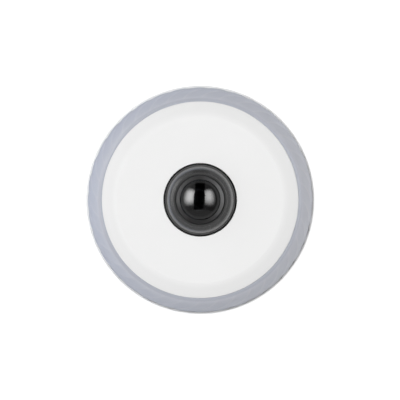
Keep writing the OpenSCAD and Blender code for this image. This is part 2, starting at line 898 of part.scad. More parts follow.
// Holder that carries the barrel over the sensor
module lens_holder() {
    color([0.13, 0.13, 0.13])
    difference() {
        union() {
            translate([0, tray_y, sensor_top_z])
                slab(holder_w, holder_l, holder_top_z - sensor_top_z, holder_round);
            translate([0, 0, tray_top_z]) cylinder(r = shank_r + neck_wall_t, h = neck_top_z - tray_top_z);
            for (x = [-ear_x, ear_x]) {
                translate([x, ear_y, sensor_top_z]) cylinder(r = ear_r, h = ear_h);
                translate([x - sign(x) * ear_r, ear_y, sensor_top_z]) block(2 * ear_r, 2 * ear_r, ear_h);
            }
        }
        translate([0, tray_y, sensor_top_z - over])
            block(tray_w + 2 * filter_gap, tray_l + 2 * filter_gap, tray_top_z - sensor_top_z + over);
        translate([0, 0, tray_top_z - over])
            cylinder(r = shank_r + slip_gap, h = neck_top_z - tray_top_z + 2 * over);
        for (x = [-ear_x, ear_x])
            translate([x, ear_y, sensor_top_z - over]) cylinder(r = small_screw_r, h = ear_screw_l);
    }
}

// Screws up through the sensor board into the holder's ears
module lens_holder_screws() {
    color("gray")
    for (x = [-ear_x, ear_x])
        translate([x, ear_y, sensor_board_z]) mirror([0, 0, 1])
            screw(small_head_r, small_head_h, small_screw_r - slip_gap, ear_screw_l);
}

// Tray of the filter changer: guides the slide and carries the rotor's pivot
module filter_housing() {
    color([0.18, 0.18, 0.18])
    union() {
        difference() {
            translate([0, tray_y, tray_z]) block(tray_w, tray_l, tray_h);
            translate([0, tray_y, tray_z + tray_floor_t])
                block(tray_w - 2 * tray_wall_t, tray_l - 2 * tray_wall_t, tray_h);
            translate([0, 0, tray_z - over])
                block(filter_w * 2 * window_share, filter_l * window_share, tray_floor_t + 2 * over);
        }
        translate([0, -slide_l / 2 - filter_gap - rail_w / 2, tray_z + tray_floor_t / 2])
            block(tray_w - tray_wall_t, rail_w, tray_floor_t / 2 + slide_t);
        translate([0, slide_l / 2 + filter_gap + rail_w / 2, tray_z + tray_floor_t / 2])
            block(tray_w - tray_wall_t, rail_w, tray_floor_t / 2 + rail_h);
        translate([0, pivot_y, tray_z + tray_floor_t / 2])
            cylinder(r = pivot_r, h = arm_z + arm_t + fit_gap - tray_z - tray_floor_t / 2);
    }
}

// Slide that carries both filters, with a slotted tab for the rotor's pin
module filter_slide() {
    slot_l = pin_far_y - pin_near_y + 2 * (pin_r + pin_gap);
    slot_y = (pin_far_y + pin_near_y) / 2;
    tab_end = slot_y + slot_l / 2 + slide_tab_wall;
    color([0.25, 0.25, 0.25])
    translate([slide_x, 0, slide_z])
    difference() {
        union() {
            block(slide_w, slide_l, slide_t);
            translate([0, tab_end / 2, slide_t - slide_tab_t]) block(slide_tab_w, tab_end, slide_tab_t);
        }
        for (x = [-filter_pitch / 2, filter_pitch / 2]) translate([x, 0, 0]) {
            translate([0, 0, filter_sink]) block(filter_w, filter_l, slide_t);
            translate([0, 0, -over])
                block(filter_w - 2 * filter_lip, filter_l - 2 * filter_lip, slide_t + 2 * over);
        }
        translate([0, slot_y, -over]) block(2 * (pin_r + pin_gap), slot_l, slide_t + 2 * over);
    }
}

// Filter plate in one pocket of the slide
module filter_plate(x) {
    translate([x, 0, slide_z + filter_sink])
        block(filter_w - slip_gap, filter_l - slip_gap, filter_t);
}

// Filter that blocks infrared by day, over the sensor at rest
module ir_cut_filter() {
    color([0.55, 0.85, 0.9, 0.6]) filter_plate(0);
}

// Plain filter for night, parked beside the sensor at rest
module clear_filter() {
    color([0.9, 0.92, 0.92, 0.4]) filter_plate(-filter_pitch);
}

// Magnet on its pivot, with the arm and the pin that pushes the slide
module filter_rotor() {
    color([0.35, 0.35, 0.37])
    translate([0, pivot_y, 0]) rotate([0, 0, -rotor_swing / 2])
    difference() {
        union() {
            translate([0, 0, magnet_z]) cylinder(r = magnet_r, h = arm_z + arm_t - magnet_z);
            translate([0, -arm_l / 2, arm_z]) block(arm_w, arm_l, arm_t);
            translate([0, -arm_l, arm_z]) cylinder(r = arm_w / 2, h = arm_t);
            translate([0, -arm_l, slide_z + slide_t - slide_tab_t + pin_rise])
                cylinder(r = pin_r, h = arm_z + arm_t / 2 - slide_z - slide_t + slide_tab_t - pin_rise);
        }
        translate([0, 0, magnet_z - over])
            cylinder(r = pivot_r + slip_gap, h = arm_z + arm_t - magnet_z + 2 * over);
    }
}

// Steel core that leads the coil's field to both sides of the magnet
module rotor_core() {
    core_z = tray_z + tray_floor_t + filter_gap;
    leg_l = coil_y + core_w / 2 - pivot_y + core_leg;
    color("silver")
    translate([0, 0, core_z])
    union() {
        for (x = [-1, 1])
            translate([x * (core_x + core_w / 2), coil_y + core_w / 2 - leg_l / 2, 0])
                block(core_w, leg_l, core_t);
        translate([0, coil_y, 0]) block(2 * core_x + core_w, core_w, core_t);
    }
}

// Copper coil around the core's back
module rotor_coil() {
    core_z = tray_z + tray_floor_t + filter_gap;
    color([0.72, 0.42, 0.2])
    difference() {
        translate([0, coil_y, tray_z + tray_floor_t]) block(coil_l, coil_w, coil_t);
        translate([0, coil_y, core_z - slip_gap])
            block(coil_l + 2 * over, core_w + 2 * slip_gap, core_t + 2 * slip_gap);
    }
}

// Sensor package on the board
module image_sensor() {
    color([0.2, 0.2, 0.22])
        translate([0, 0, sensor_top_z]) block(sensor_w, sensor_l, sensor_t);
}

// Cover glass of the sensor
module sensor_glass() {
    color([0.3, 0.45, 0.5, 0.6])
        translate([0, 0, sensor_top_z + sensor_t])
            block(sensor_w - 2 * sensor_glass_inset, sensor_l - 2 * sensor_glass_inset, sensor_glass_t);
}

// Children at the four corner holes of the sensor board
module sensor_corners() {
    for (x = [-1, 1], y = [-1, 1])
        translate([
            x * (sensor_board_w / 2 - corner_inset_x),
            sensor_board_y + y * (sensor_board_l / 2 - corner_inset_y), 0
        ]) children();
}

// Board that carries the sensor and the lens holder
module sensor_board() {
    color([0.05, 0.3, 0.14])
    difference() {
        translate([0, sensor_board_y, sensor_board_z])
            slab(sensor_board_w, sensor_board_l, sensor_board_t, board_round);
        translate([0, 0, sensor_board_z - over]) {
            sensor_corners() cylinder(r = small_screw_r + slip_gap, h = sensor_board_t + 2 * over);
            for (x = [-ear_x, ear_x])
                translate([x, ear_y, 0])
                    cylinder(r = small_screw_r + slip_gap, h = sensor_board_t + 2 * over);
        }
    }
}

// Brass spacers between the two boards
module sensor_board_spacers() {
    color("goldenrod")
        sensor_corners() translate([0, 0, main_top_z]) tube(spacer_r, small_screw_r + slip_gap, board_gap);
}

// Screws that hold the sensor board on its spacers
module sensor_board_screws() {
    color("gray")
        sensor_corners()
            translate([0, 0, sensor_top_z]) screw(small_head_r, small_head_h, small_screw_r, small_screw_l);
}

// Stacking connector between the boards
module board_connector() {
    connector_w = sensor_w + 2 * board_round;
    color([0.85, 0.82, 0.72])
        translate([0, sensor_board_y - sensor_board_l / 2 + sensor_l / 2, main_top_z])
            block(connector_w, sensor_l / 2, board_gap);
}

// Round main board
module main_board() {
    color([0.05, 0.3, 0.14])
    translate([0, 0, main_board_z])
    difference() {
        cylinder(r = main_board_r, h = main_board_t);
        around(post_count, post_circle_r, post_angle)
            translate([0, 0, -over])
                cylinder(r = board_screw_r + board_hole_gap, h = main_board_t + 2 * over);
    }
}

// Screws that hold the main board on the housing's posts
module board_screws() {
    color("gray")
    around(post_count, post_circle_r, post_angle)
        translate([0, 0, main_top_z])
            screw(board_screw_head_r, board_screw_head_h, board_screw_r, board_screw_l);
}

// Image processor on the back of the main board
module processor() {
    color([0.1, 0.1, 0.11])
        translate([chip_x, chip_y, main_board_z - chip_t]) block(chip_w, chip_w, chip_t);
}

// Soft pad that leads the processor's heat into the casting
module thermal_pad() {
    color([0.45, 0.6, 0.7])
        translate([chip_x, chip_y, main_board_z - chip_t - pad_t])
            block(chip_w - 2 * pad_inset, chip_w - 2 * pad_inset, pad_t);
}

// Memory chips on the front of the main board
module memory_chips() {
    color([0.1, 0.1, 0.11])
    for (i = [0, 1])
        translate([ram_x + i * ram_step_x, ram_y + i * ram_step_y, main_top_z]) block(ram_w, ram_l, ram_t);
}

// Power transformer: ferrite core around a round winding
module power_transformer() {
    color([0.28, 0.27, 0.26])
    translate([transformer_x, transformer_y, main_top_z])
    union() {
        block(transformer_w, transformer_w, bobbin_t);
        translate([0, 0, transformer_h - bobbin_t]) block(transformer_w, transformer_w, bobbin_t);
        cylinder(r = winding_r, h = transformer_h - bobbin_t / 2);
        for (x = [-1, 1])
            translate([x * (transformer_w - bobbin_t) / 2, 0, 0])
                block(bobbin_t, transformer_w, transformer_h);
    }
}

// Electrolytic capacitors, with the crimp near the foot of each can
module capacitors() {
    color([0.7, 0.72, 0.74])
    for (a = cap_angles)
        rotate([0, 0, a]) translate([cap_circle_r, 0, main_top_z])
            rotate_extrude() polygon([
                [0, 0], [cap_r, 0], [cap_r, cap_crimp_z - cap_ring_t],
                [cap_r - cap_ring_t, cap_crimp_z], [cap_r, cap_crimp_z + cap_ring_t],
                [cap_r, cap_h - cap_ring_t], [cap_r - cap_ring_t, cap_h], [0, cap_h]
            ]);
}

// Network isolation block beside the jack
module network_magnetics() {
    color([0.12, 0.12, 0.12])
        translate([magnetics_x, magnetics_y, main_top_z]) block(magnetics_w, magnetics_l, magnetics_h);
}

// Metal socket for a memory card, open at its outer end
module memory_card_socket() {
    color("silver")
    translate([socket_x, socket_y, main_top_z])
    difference() {
        block(socket_w, socket_l, socket_h);
        translate([0, (socket_l - card_l) / 2 + over, (socket_h - card_t) / 2]) block(card_w, card_l, card_t);
    }
}

// Network jack: shell with the cavity for an eight-way plug and its latch
module network_jack() {
    cavity_z = jack_wall_t + latch_h;
    color([0.75, 0.76, 0.78])
    translate([jack_x, jack_y, jack_z])
    difference() {
        translate([0, jack_l / 2, 0]) block(jack_w, jack_l, jack_h);
        translate([0, plug_l / 2 - over, cavity_z]) block(plug_w, plug_l, plug_h);
        translate([0, plug_l / 2 - over, jack_wall_t]) block(latch_w, plug_l, latch_h + over);
    }
}

// Sprung contacts inside the network jack
module network_contacts() {
    root_z = jack_wall_t + latch_h + plug_h;
    color("gold")
    for (i = [0 : contact_count - 1])
        translate([
            jack_x + (i - (contact_count - 1) / 2) * contact_pitch,
            jack_y + plug_l - over, jack_z + root_z - contact_t
        ])
            rotate([contact_tilt, 0, 0])
                translate([-contact_w / 2, -contact_l, -contact_t]) cube([contact_w, contact_l, contact_t]);
}

// Power jack for a round plug
module power_jack() {
    color([0.08, 0.08, 0.08])
    translate([power_x, jack_y, main_board_z - power_h])
    difference() {
        translate([0, power_l / 2, 0]) block(power_w, power_l, power_h);
        translate([0, -over, power_h / 2]) rotate([-90, 0, 0])
            cylinder(r = power_bore_r, h = power_bore_l + over);
    }
}

// Centre pin of the power jack
module power_jack_pin() {
    color("silver")
    translate([power_x, jack_y + power_bore_l, main_board_z - power_h / 2])
        rotate([90, 0, 0]) cylinder(r = power_pin_r, h = power_pin_l);
}

// Tact switch on the back of the main board
module reset_switch() {
    color([0.15, 0.15, 0.15])
    translate([reset_x, reset_y, switch_z])
    difference() {
        block(switch_w, switch_w, switch_h);
        translate([0, 0, -over]) cylinder(r = plunger_r + slip_gap, h = plunger_l + over);
    }
}

// Plunger of the tact switch
module reset_switch_plunger() {
    color([0.8, 0.3, 0.2])
    translate([reset_x, reset_y, plunger_z])
        cylinder(r = plunger_r, h = plunger_h + plunger_l - reset_travel - fit_gap);
}

// Reset button, reached from the back once the camera is off its plate
module reset_button() {
    color([0.2, 0.2, 0.2])
    translate([reset_x, reset_y, 0])
    union() {
        translate([0, 0, rear_z - reset_proud]) cylinder(r = reset_r, h = plunger_z - rear_z + reset_proud);
        translate([0, 0, floor_z + reset_boss_h + slip_gap])
            cylinder(r = reset_flange_r, h = reset_flange_t);
    }
}

mounting_plate();
rear_housing();
side_ring();
front_cover();
cover_gasket();
housing_screws();
lens_trim_ring();
lens_seal();
lens_retaining_ring();
front_lens();
lens_barrel();
second_lens();
front_spacer();
third_lens();
aperture_stop();
middle_spacer();
fourth_lens();
rear_spacer();
crown_lens();
flint_lens();
rear_lens_ring();
focus_lock_ring();
lens_holder();
lens_holder_screws();
filter_housing();
filter_slide();
ir_cut_filter();
clear_filter();
filter_rotor();
rotor_core();
rotor_coil();
image_sensor();
sensor_glass();
sensor_board();
sensor_board_spacers();
sensor_board_screws();
board_connector();
main_board();
board_screws();
processor();
thermal_pad();
memory_chips();
power_transformer();
capacitors();
network_magnetics();
memory_card_socket();
network_jack();
network_contacts();
power_jack();
power_jack_pin();
reset_switch();
reset_switch_plunger();
reset_button();
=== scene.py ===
# %% [markdown]
# A fisheye network camera, dressed around its packed CAD model.
# The model gives every solid at its real place. This script adds what a designer adds last: fine
# meshes for the pieces that the eye rests on, and a finish for each of the 53 pieces.
# Everything is in metres, in the frame of the model: +Z leaves the ceiling along the lens axis.

# %% Load the model
import json
import math

import bmesh
import bpy
from mathutils import Matrix, Vector


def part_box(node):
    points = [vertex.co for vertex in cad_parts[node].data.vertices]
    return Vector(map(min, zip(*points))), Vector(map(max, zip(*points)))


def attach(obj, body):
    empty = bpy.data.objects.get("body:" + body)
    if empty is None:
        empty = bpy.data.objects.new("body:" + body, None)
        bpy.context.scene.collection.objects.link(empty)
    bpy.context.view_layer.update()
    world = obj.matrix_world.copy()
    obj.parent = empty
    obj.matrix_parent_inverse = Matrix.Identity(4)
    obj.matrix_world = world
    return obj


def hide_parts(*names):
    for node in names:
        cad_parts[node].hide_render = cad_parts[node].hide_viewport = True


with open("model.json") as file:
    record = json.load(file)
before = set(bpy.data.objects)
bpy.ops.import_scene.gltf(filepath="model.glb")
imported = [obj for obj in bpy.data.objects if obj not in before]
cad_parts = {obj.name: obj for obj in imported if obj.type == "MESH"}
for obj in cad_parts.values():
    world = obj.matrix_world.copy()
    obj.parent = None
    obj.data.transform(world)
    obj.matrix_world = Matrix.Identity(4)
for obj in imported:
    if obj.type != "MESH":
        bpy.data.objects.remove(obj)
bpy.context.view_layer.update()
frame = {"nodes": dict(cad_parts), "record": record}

mm = 0.001

# %% [markdown]
# The camera comes first, because the likeness depends on it. The photograph looks straight down the
# lens axis from far away, so the rim and the face, which lie at different heights, share one scale.
# A long lens a few metres off gives that. The rim is 227.7 pixels wide in a frame of 400 pixels.

# %% Camera
photo_px = 400
rim_px = 227.7
centre_px = (200.2, 199.8)
camera_height = 5.0
sensor = 36.0

rim_low, rim_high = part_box("rear_housing")
rim_d = rim_high.x - rim_low.x
px = rim_d / rim_px
camera_data = bpy.data.cameras.new("camera")
camera_data.sensor_width = sensor
camera_data.lens = sensor * camera_height / (px * photo_px)
camera_data.clip_end = 2 * camera_height
camera = bpy.data.objects.new("camera", camera_data)
camera.location = (
    (photo_px / 2 - centre_px[0]) * px,
    (centre_px[1] - photo_px / 2) * px,
    camera_height,
)
bpy.context.scene.collection.objects.link(camera)
bpy.context.scene.camera = camera
bpy.context.scene.view_settings.view_transform = "Standard"
print("one pixel is", round(px / mm, 4), "mm")

# %% [markdown]
# A finish is a small graph of shader nodes. Wiring nodes one by one hides the idea, so a thin class
# wraps a socket and lets Python write the sum: noise * 0.1 + 0.4 adds the Math nodes by itself.
# Colours and vectors go through Vector Math and Mix, because a Math node turns a colour grey.


# %% Sockets that do sums
class Value:
    """An output socket whose operators add the nodes that work them out."""

    def __init__(self, tree, socket):
        self.tree, self.socket = tree, socket

    def sum(self, operation, first, second):
        """The node that works the two out, as numbers or else as vectors."""
        pair = [v.socket.type if isinstance(v, Value) else "VALUE" for v in (first, second)]
        kind = "Math" if pair == ["VALUE", "VALUE"] else "VectorMath"
        return self.tree.add(kind, inputs=(first, second), operation=operation)

    def __add__(self, other):
        return self.sum("ADD", self, other)

    def __radd__(self, other):
        return self.sum("ADD", other, self)

    def __sub__(self, other):
        return self.sum("SUBTRACT", self, other)

    def __rsub__(self, other):
        return self.sum("SUBTRACT", other, self)

    def __mul__(self, other):
        return self.sum("MULTIPLY", self, other)

    def __rmul__(self, other):
        return self.sum("MULTIPLY", other, self)

    def __truediv__(self, other):
        return self.sum("DIVIDE", self, other)

    def __rtruediv__(self, other):
        return self.sum("DIVIDE", other, self)

    def __pow__(self, other):
        return self.sum("POWER", self, other)

    def __rpow__(self, other):
        return self.sum("POWER", other, self)


print("reflected operators:", [name for name in vars(Value) if name.startswith("__r")])

# %% [markdown]
# The nodes themselves come from one method, add. It takes the type of a node, its settings, and
# what its sockets hold or link to. Short methods name the few nodes that every finish needs, with
# sizes in millimetres, so that a finish reads like a recipe.


# %% A tree that adds nodes
class Tree:
    """A node tree with one method that adds any node, and short names for the common ones."""

    def __init__(self, node_tree):
        self.node_tree = node_tree

    def feed(self, socket, value):
        """Links a Value to the socket, or stores a number, a colour or a vector on it."""
        if isinstance(value, Value):
            self.node_tree.links.new(value.socket, socket)
        elif socket.type == "RGBA":
            socket.default_value = (*value, 1)
        elif socket.type == "VECTOR" and isinstance(value, (int, float)):
            socket.default_value = (value,) * 3
        else:
            socket.default_value = value

    def add(self, kind, output=None, inputs=(), **settings):
        """Any node: its settings first, then its inputs by name or in their order."""
        node = self.node_tree.nodes.new("ShaderNode" + kind)
        for name, value in settings.items():
            setattr(node, name, value)
        shown = [s for s in node.inputs if s.enabled]
        if isinstance(inputs, dict):
            for name, value in inputs.items():
                self.feed(next(s for s in shown if s.name == name), value)
        else:
            for socket, value in zip(shown, inputs):
                self.feed(socket, value)
        outputs = [s for s in node.outputs if s.enabled and output in (None, s.name)]
        return Value(self, outputs[0])

    def point(self):
        """The place on the piece, in millimetres."""
        return self.add("TexCoord", output="Object") * (1 / mm)

    def parts(self, vector):
        """The three numbers of a vector."""
        return [self.add("SeparateXYZ", output=axis, inputs=[vector]) for axis in "XYZ"]

    def radius(self, place):
        """The distance of a place from the lens axis."""
        x, y, z = self.parts(place)
        return (x * x + y * y) ** 0.5

    def noise(self, place, size, detail=2.0):
        """Soft noise from 0 to 1, with features about size millimetres across."""
        inputs = {"Vector": place, "Scale": 1 / size, "Detail": detail}
        return self.add("TexNoise", output="Fac", inputs=inputs)

    def waves(self, value, length):
        """Even waves from 0 to 1, one for each length of the value."""
        sine = self.add("Math", operation="SINE", inputs=[value * (math.tau / length)])
        return sine * 0.5 + 0.5

    def smooth(self, value, low, high):
        """0 at low and 1 at high, with a soft start and end."""
        inputs = {"Value": value, "From Min": low, "From Max": high}
        return self.add("MapRange", interpolation_type="SMOOTHSTEP", inputs=inputs)

    def vary(self, value, middle, spread):
        """A number around middle, which a value from 0 to 1 moves over the spread."""
        return value * spread + (middle - spread / 2)

    def mix(self, share, colour, other):
        """The colour, with that share of the other one."""
        inputs = {"Factor": share, "A": colour, "B": other}
        return self.add("Mix", data_type="RGBA", inputs=inputs)

    def bump(self, height, depth):
        """A normal from a height of 0 to 1 that stands depth millimetres deep."""
        return self.add("Bump", inputs={"Height": height, "Distance": depth * mm, "Strength": 1.0})


print("node helpers:", [name for name in vars(Tree) if not name.startswith("_")])

# %% [markdown]
# Every finish is one Principled shader. What is the same all over the piece sits on the shader's
# own sockets, because a bare number needs no node. Only what changes over the surface gets a
# graph: colour, roughness, metal, coat and the normal.


# %% A finish
def finish(name, constants, varied):
    """A material: constants for the shader's sockets, and a function that gives the rest."""
    material = bpy.data.materials.new(name)
    material.use_nodes = True
    tree = Tree(material.node_tree)
    shader = material.node_tree.nodes["Principled BSDF"]
    for socket, value in constants.items():
        tree.feed(shader.inputs[socket], value)
    for socket, value in varied(tree).items():
        tree.feed(shader.inputs[socket], value)
    return material


print("materials so far:", len(bpy.data.materials))

# %% [markdown]
# The front cover is injection-moulded in a tool with a fine spark-eroded grain. From a step away
# it looks plain matt white. Up close the grain breaks the highlight. Noise a quarter of a
# millimetre across makes the grain, and a slow cloud keeps the white from looking computed. On
# the rolled edge the white is painted a shade deeper: painted shade for the edge that turns away
# from the lamp.

# %% White plastic
WHITE = (0.86, 0.86, 0.86)
WHITE_DEEP = (0.835, 0.835, 0.832)
WHITE_ROLL_SHADE = (0.815, 0.815, 0.813)
ROLL_SHADE_FADE = (40.0, 43.2)


def grained_white(tree):
    place = tree.point()
    # The mask of the painted shade on the rolled edge.
    roll = tree.smooth(tree.radius(place), *ROLL_SHADE_FADE)
    grain = tree.noise(place, size=0.24, detail=3)
    cloud = tree.noise(place, size=22)
    flat = tree.mix(cloud, WHITE_DEEP, WHITE)
    return {
        "Base Color": tree.mix(roll, flat, WHITE_ROLL_SHADE),
        "Roughness": tree.vary(grain, middle=0.5, spread=0.12),
        "Normal": tree.bump(grain, depth=0.006),
    }


print("the white deepens over", ROLL_SHADE_FADE, "mm from the lens axis")

# %% [markdown]
# The other plastics and rubbers share one recipe. A moulded colour is never quite even, so it
# clouds a little, and the tool leaves a grain. Only colour, roughness and grain tell them apart.

# %% Moulded plastics and rubber
MOTTLE = 0.12
MOTTLE_OF_BLACK = 0.01


def moulded(colour, roughness, grain_size=0.3, grain_depth=0.006):
    """A plain moulded plastic or rubber: one colour that clouds a little, with a fine grain."""
    light = [c + MOTTLE * (c + MOTTLE_OF_BLACK) for c in colour]

    def varied(tree):
        place = tree.point()
        grain = tree.noise(place, grain_size, detail=3)
        cloud = tree.noise(place, size=5, detail=3)
        return {
            "Base Color": tree.mix(cloud, colour, light),
            "Roughness": tree.vary(grain, roughness, spread=0.14),
            "Normal": tree.bump(grain, grain_depth),
        }

    return varied


print("moulded colours cloud by", MOTTLE)

# %% [markdown]
# The collar around the lens is black plastic, polished on its slope and shoulder only. The wall
# below stays matt, because a glossy wall would mirror the white face. The flat lip at the top is
# matt too. Matt black looks a shade lighter than polished black, and that sheen is painted into the
# lip's colour.

# %% Polished black
BLACK = (0.02, 0.02, 0.02)
BLACK_CLOUD = (0.025, 0.025, 0.025)
BLACK_LIP_SHEEN = (0.05, 0.05, 0.05)
LIP_FADE = (12.9, 13.05)
WALL_FADE = (15.7, 16.3)


def polished_black(tree):
    place = tree.point()
    radius = tree.radius(place)
    grain = tree.noise(place, size=0.2, detail=3)
    cloud = tree.noise(place, size=6)
    past_lip = tree.smooth(radius, *LIP_FADE)
    before_wall = 1 - tree.smooth(radius, *WALL_FADE)
    return {
        # The lip's lighter black is a painted sheen.
        "Base Color": tree.mix(past_lip, BLACK_LIP_SHEEN, tree.mix(cloud, BLACK, BLACK_CLOUD)),
        "Roughness": tree.vary(grain, middle=0.45, spread=0.1),
        "Coat Weight": past_lip * before_wall,
        "Normal": tree.bump(grain, depth=0.001),
    }


print("polished from", LIP_FADE[1], "to", WALL_FADE[0], "mm off the lens axis")

# %% [markdown]
# The band is a satin silver plastic with a breath of lavender. Light creeps a little way into it,
# so the thin ridges between the scoops look lighter than the hollows; that light is painted in. The
# mesh below stores how near each point is to a ridge, and the finish reads it to paint a highlight
# there. The colour is painted darker at the front edge, where the band dips behind the cover, and
# towards the base, as painted shade.

# %% The lavender band
band_low, band_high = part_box("side_ring")
BAND_HOLLOW = (0.545, 0.56, 0.615)
BAND_RIDGE_HIGHLIGHT = (0.70, 0.69, 0.71)
BAND_EDGE_SHADE = (0.385, 0.4, 0.455)
BAND_FRONT_Z = band_high.z / mm
FRONT_SHADE_FADE = (BAND_FRONT_Z - 1.0, BAND_FRONT_Z + 0.2)
BASE_SHADE_FADE = (9.0, 22.0)
RIDGE_HIGHLIGHT_SHARE = 0.65
PEARL_SHARE = 0.15
BASE_SHADE_SHARE = 0.3


def satin_lavender(tree):
    place = tree.point()
    x, y, z = tree.parts(place)
    ridge = tree.add("Attribute", output="Fac", attribute_name="ridge")
    grain = tree.noise(place, size=0.18, detail=3)
    pearl = tree.noise(place, size=7)
    # Painted shade: the front edge, where the band dips behind the cover, and the base are darker.
    front = tree.smooth(z, *FRONT_SHADE_FADE)
    base = 1 - tree.smooth(z, *BASE_SHADE_FADE)
    # Painted highlight: the colour is lifted near each ridge.
    colour = tree.mix(RIDGE_HIGHLIGHT_SHARE * ridge + PEARL_SHARE * pearl, BAND_HOLLOW, BAND_RIDGE_HIGHLIGHT)
    colour = tree.mix(front, colour, BAND_EDGE_SHADE)
    return {
        "Base Color": tree.mix(BASE_SHADE_SHARE * base, colour, BAND_EDGE_SHADE),
        "Roughness": tree.vary(grain, middle=0.41, spread=0.1),
        "Normal": tree.bump(grain, depth=0.003),
    }


print("the band's front edge stands", round(BAND_FRONT_Z, 2), "mm off the ceiling")

# %% [markdown]
# Metals need two things to be believed: a direction and a history. Rolled steel keeps faint lines
# along the sheet, a turned ring keeps them around its axis, and a zinc bath leaves soft blotches.
# Inside a lens the metal is blackened against stray light. Inside the ring of the front lens and
# behind it the black is painted deeper still, a painted shade for the dark inside of the lens and
# the gap around the ring. The ring shows between two radii, here in millimetres.

# %% Metals
LINE_STRETCH = Vector((0.06, 1, 1))
GROOVE_PITCH = 0.12
TURNED_LIGHT_SHARE = 1.3
TURNED_SHADE_SHARE = 0.1
RING_START = (9.3, 9.5)
RING_END = (11.4, 11.45)


def rolled_steel(colour, tint, roughness=0.34, line=0.12):
    """Sheet steel with lines along X and blotches from its plating."""

    def varied(tree):
        place = tree.point()
        lines = tree.noise(place * LINE_STRETCH, line, detail=4)
        blotch = tree.noise(place, size=9, detail=3)
        dull = tree.vary(blotch, middle=0, spread=0.1)
        return {
            "Base Color": tree.mix(blotch, colour, tint),
            "Roughness": tree.vary(lines, roughness, spread=0.16) + dull,
            "Normal": tree.bump(lines, depth=0.004),
        }

    return varied


def turned_metal(colour, roughness):
    """Black metal turned on a lathe: fine grooves, and painted shade, a deeper black, inside and
    behind the ring.
    """
    light = [c * TURNED_LIGHT_SHARE for c in colour]
    black = [c * TURNED_SHADE_SHARE for c in colour]

    def varied(tree):
        place = tree.point()
        x, y, z = tree.parts(place)
        radius = tree.radius(place)
        groove = tree.waves(radius + z, GROOVE_PITCH)
        cloud = tree.noise(place, size=3, detail=3)
        # Inside and behind this ring the colour is painted darker: painted shade.
        ring = tree.smooth(radius, *RING_START) * (1 - tree.smooth(radius, *RING_END))
        return {
            "Base Color": tree.mix(ring, black, tree.mix(cloud, colour, light)),
            "Roughness": tree.vary(cloud, roughness, spread=0.12),
            "Normal": tree.bump(groove, depth=0.0015),
        }

    return varied


print("turned grooves are", GROOVE_PITCH, "mm apart")

# %% [markdown]
# The rear housing is a casting under textured paint. Such paint shows neither grain nor lines but
# orange peel: soft bumps under a millimetre across. A few greyer specks break the pale colour.

# %% Cast paint
PAINT = (0.8, 0.805, 0.8)
PAINT_LIGHT = (0.86, 0.86, 0.85)
SPECK = (0.5, 0.5, 0.49)
SPECK_FADE = (0.72, 0.78)
SPECK_SHARE = 0.15


def cast_paint(tree):
    place = tree.point()
    peel = tree.noise(place, size=0.7)
    cloud = tree.noise(place, size=14, detail=3)
    speck = tree.smooth(tree.noise(place, size=0.9, detail=1), *SPECK_FADE)
    paint = tree.mix(cloud, PAINT, PAINT_LIGHT)
    return {
        "Base Color": tree.mix(SPECK_SHARE * speck, paint, SPECK),
        "Roughness": tree.vary(peel, middle=0.52, spread=0.2),
        "Normal": tree.bump(peel, depth=0.02),
    }


print("paint:", PAINT, "to", PAINT_LIGHT)

# %% [markdown]
# Glass is made by what surrounds it. Camera lenses are coated, so their inner faces reflect almost
# nothing and the inside looks black. The outer face of the front lens is also tinted dark, a
# painted shade that deepens that black. Only the ball of the front lens shows the soft boxes. That
# outer face is found by its distance from the centre of the ball, and gets a clear coat.

# %% Glass
dome_low, dome_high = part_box("front_lens")
ball_r = 13 * mm
ball_centre = dome_high.z - ball_r
GLASS_OUTER_SHADE = (0.13, 0.14, 0.145)
GLASS_INNER = (0.62, 0.68, 0.7)
GLASS_FILM = (0.66, 0.71, 0.72)
OUTER_FADE = (ball_r / mm - 0.1, ball_r / mm - 0.05)
SMEAR = 0.02
FILM_LIGHT_SHARE = 1.03


def coated_glass(tree):
    place = tree.point()
    from_centre = place - Vector((0, 0, ball_centre / mm))
    away = tree.add("VectorMath", output="Value", operation="LENGTH", inputs=[from_centre])
    # The dark tint of the outer face is painted shade over the inside of the lens.
    outer = tree.smooth(away, *OUTER_FADE)
    film = tree.noise(place, size=4, detail=3)
    return {
        "Base Color": tree.mix(outer, tree.mix(film, GLASS_INNER, GLASS_FILM), GLASS_OUTER_SHADE),
        "Roughness": film * SMEAR,
        "Coat Weight": outer,
    }


def clear_glass(tint):
    """Plain tinted glass with a faint film on it."""
    light = [min(1.0, c * FILM_LIGHT_SHARE) for c in tint]

    def varied(tree):
        film = tree.noise(tree.point(), size=4, detail=3)
        return {
            "Base Color": tree.mix(film, tint, light),
            "Roughness": film * SMEAR,
        }

    return varied


print("the ball's centre stands", round(ball_centre / mm, 2), "mm off the ceiling")

# %% [markdown]
# Inside are two circuit boards. A solder mask is green lacquer over copper tracks, which show
# as slightly raised, lighter lines. A brick pattern with long thin bricks draws tracks well enough,
# and a voronoi pattern drills the little plated holes between them. The coil is wound from
# lacquered copper wire, whose turns are waves along it.

# %% Circuit boards and wire
LACQUER = (0.014, 0.13, 0.05)
LACQUER_TRACK = (0.03, 0.21, 0.085)
PLATED_HOLE = (0.72, 0.62, 0.4)
HOLE_SCALE = 0.45
HOLE_FADE = (0.1, 0.14)
HOLE_METAL = 0.9
HOLE_POLISH = 0.1
LACQUER_ROUGHNESS = 0.34
COPPER = (0.55, 0.22, 0.08)
COPPER_LIGHT = (0.68, 0.33, 0.14)
WIRE_PITCH = 0.18
TRACKS = {
    "Scale": 0.6,
    "Mortar Size": 0.16,
    "Mortar Smooth": 0.1,
    "Brick Width": 3.1,
    "Row Height": 0.46,
}


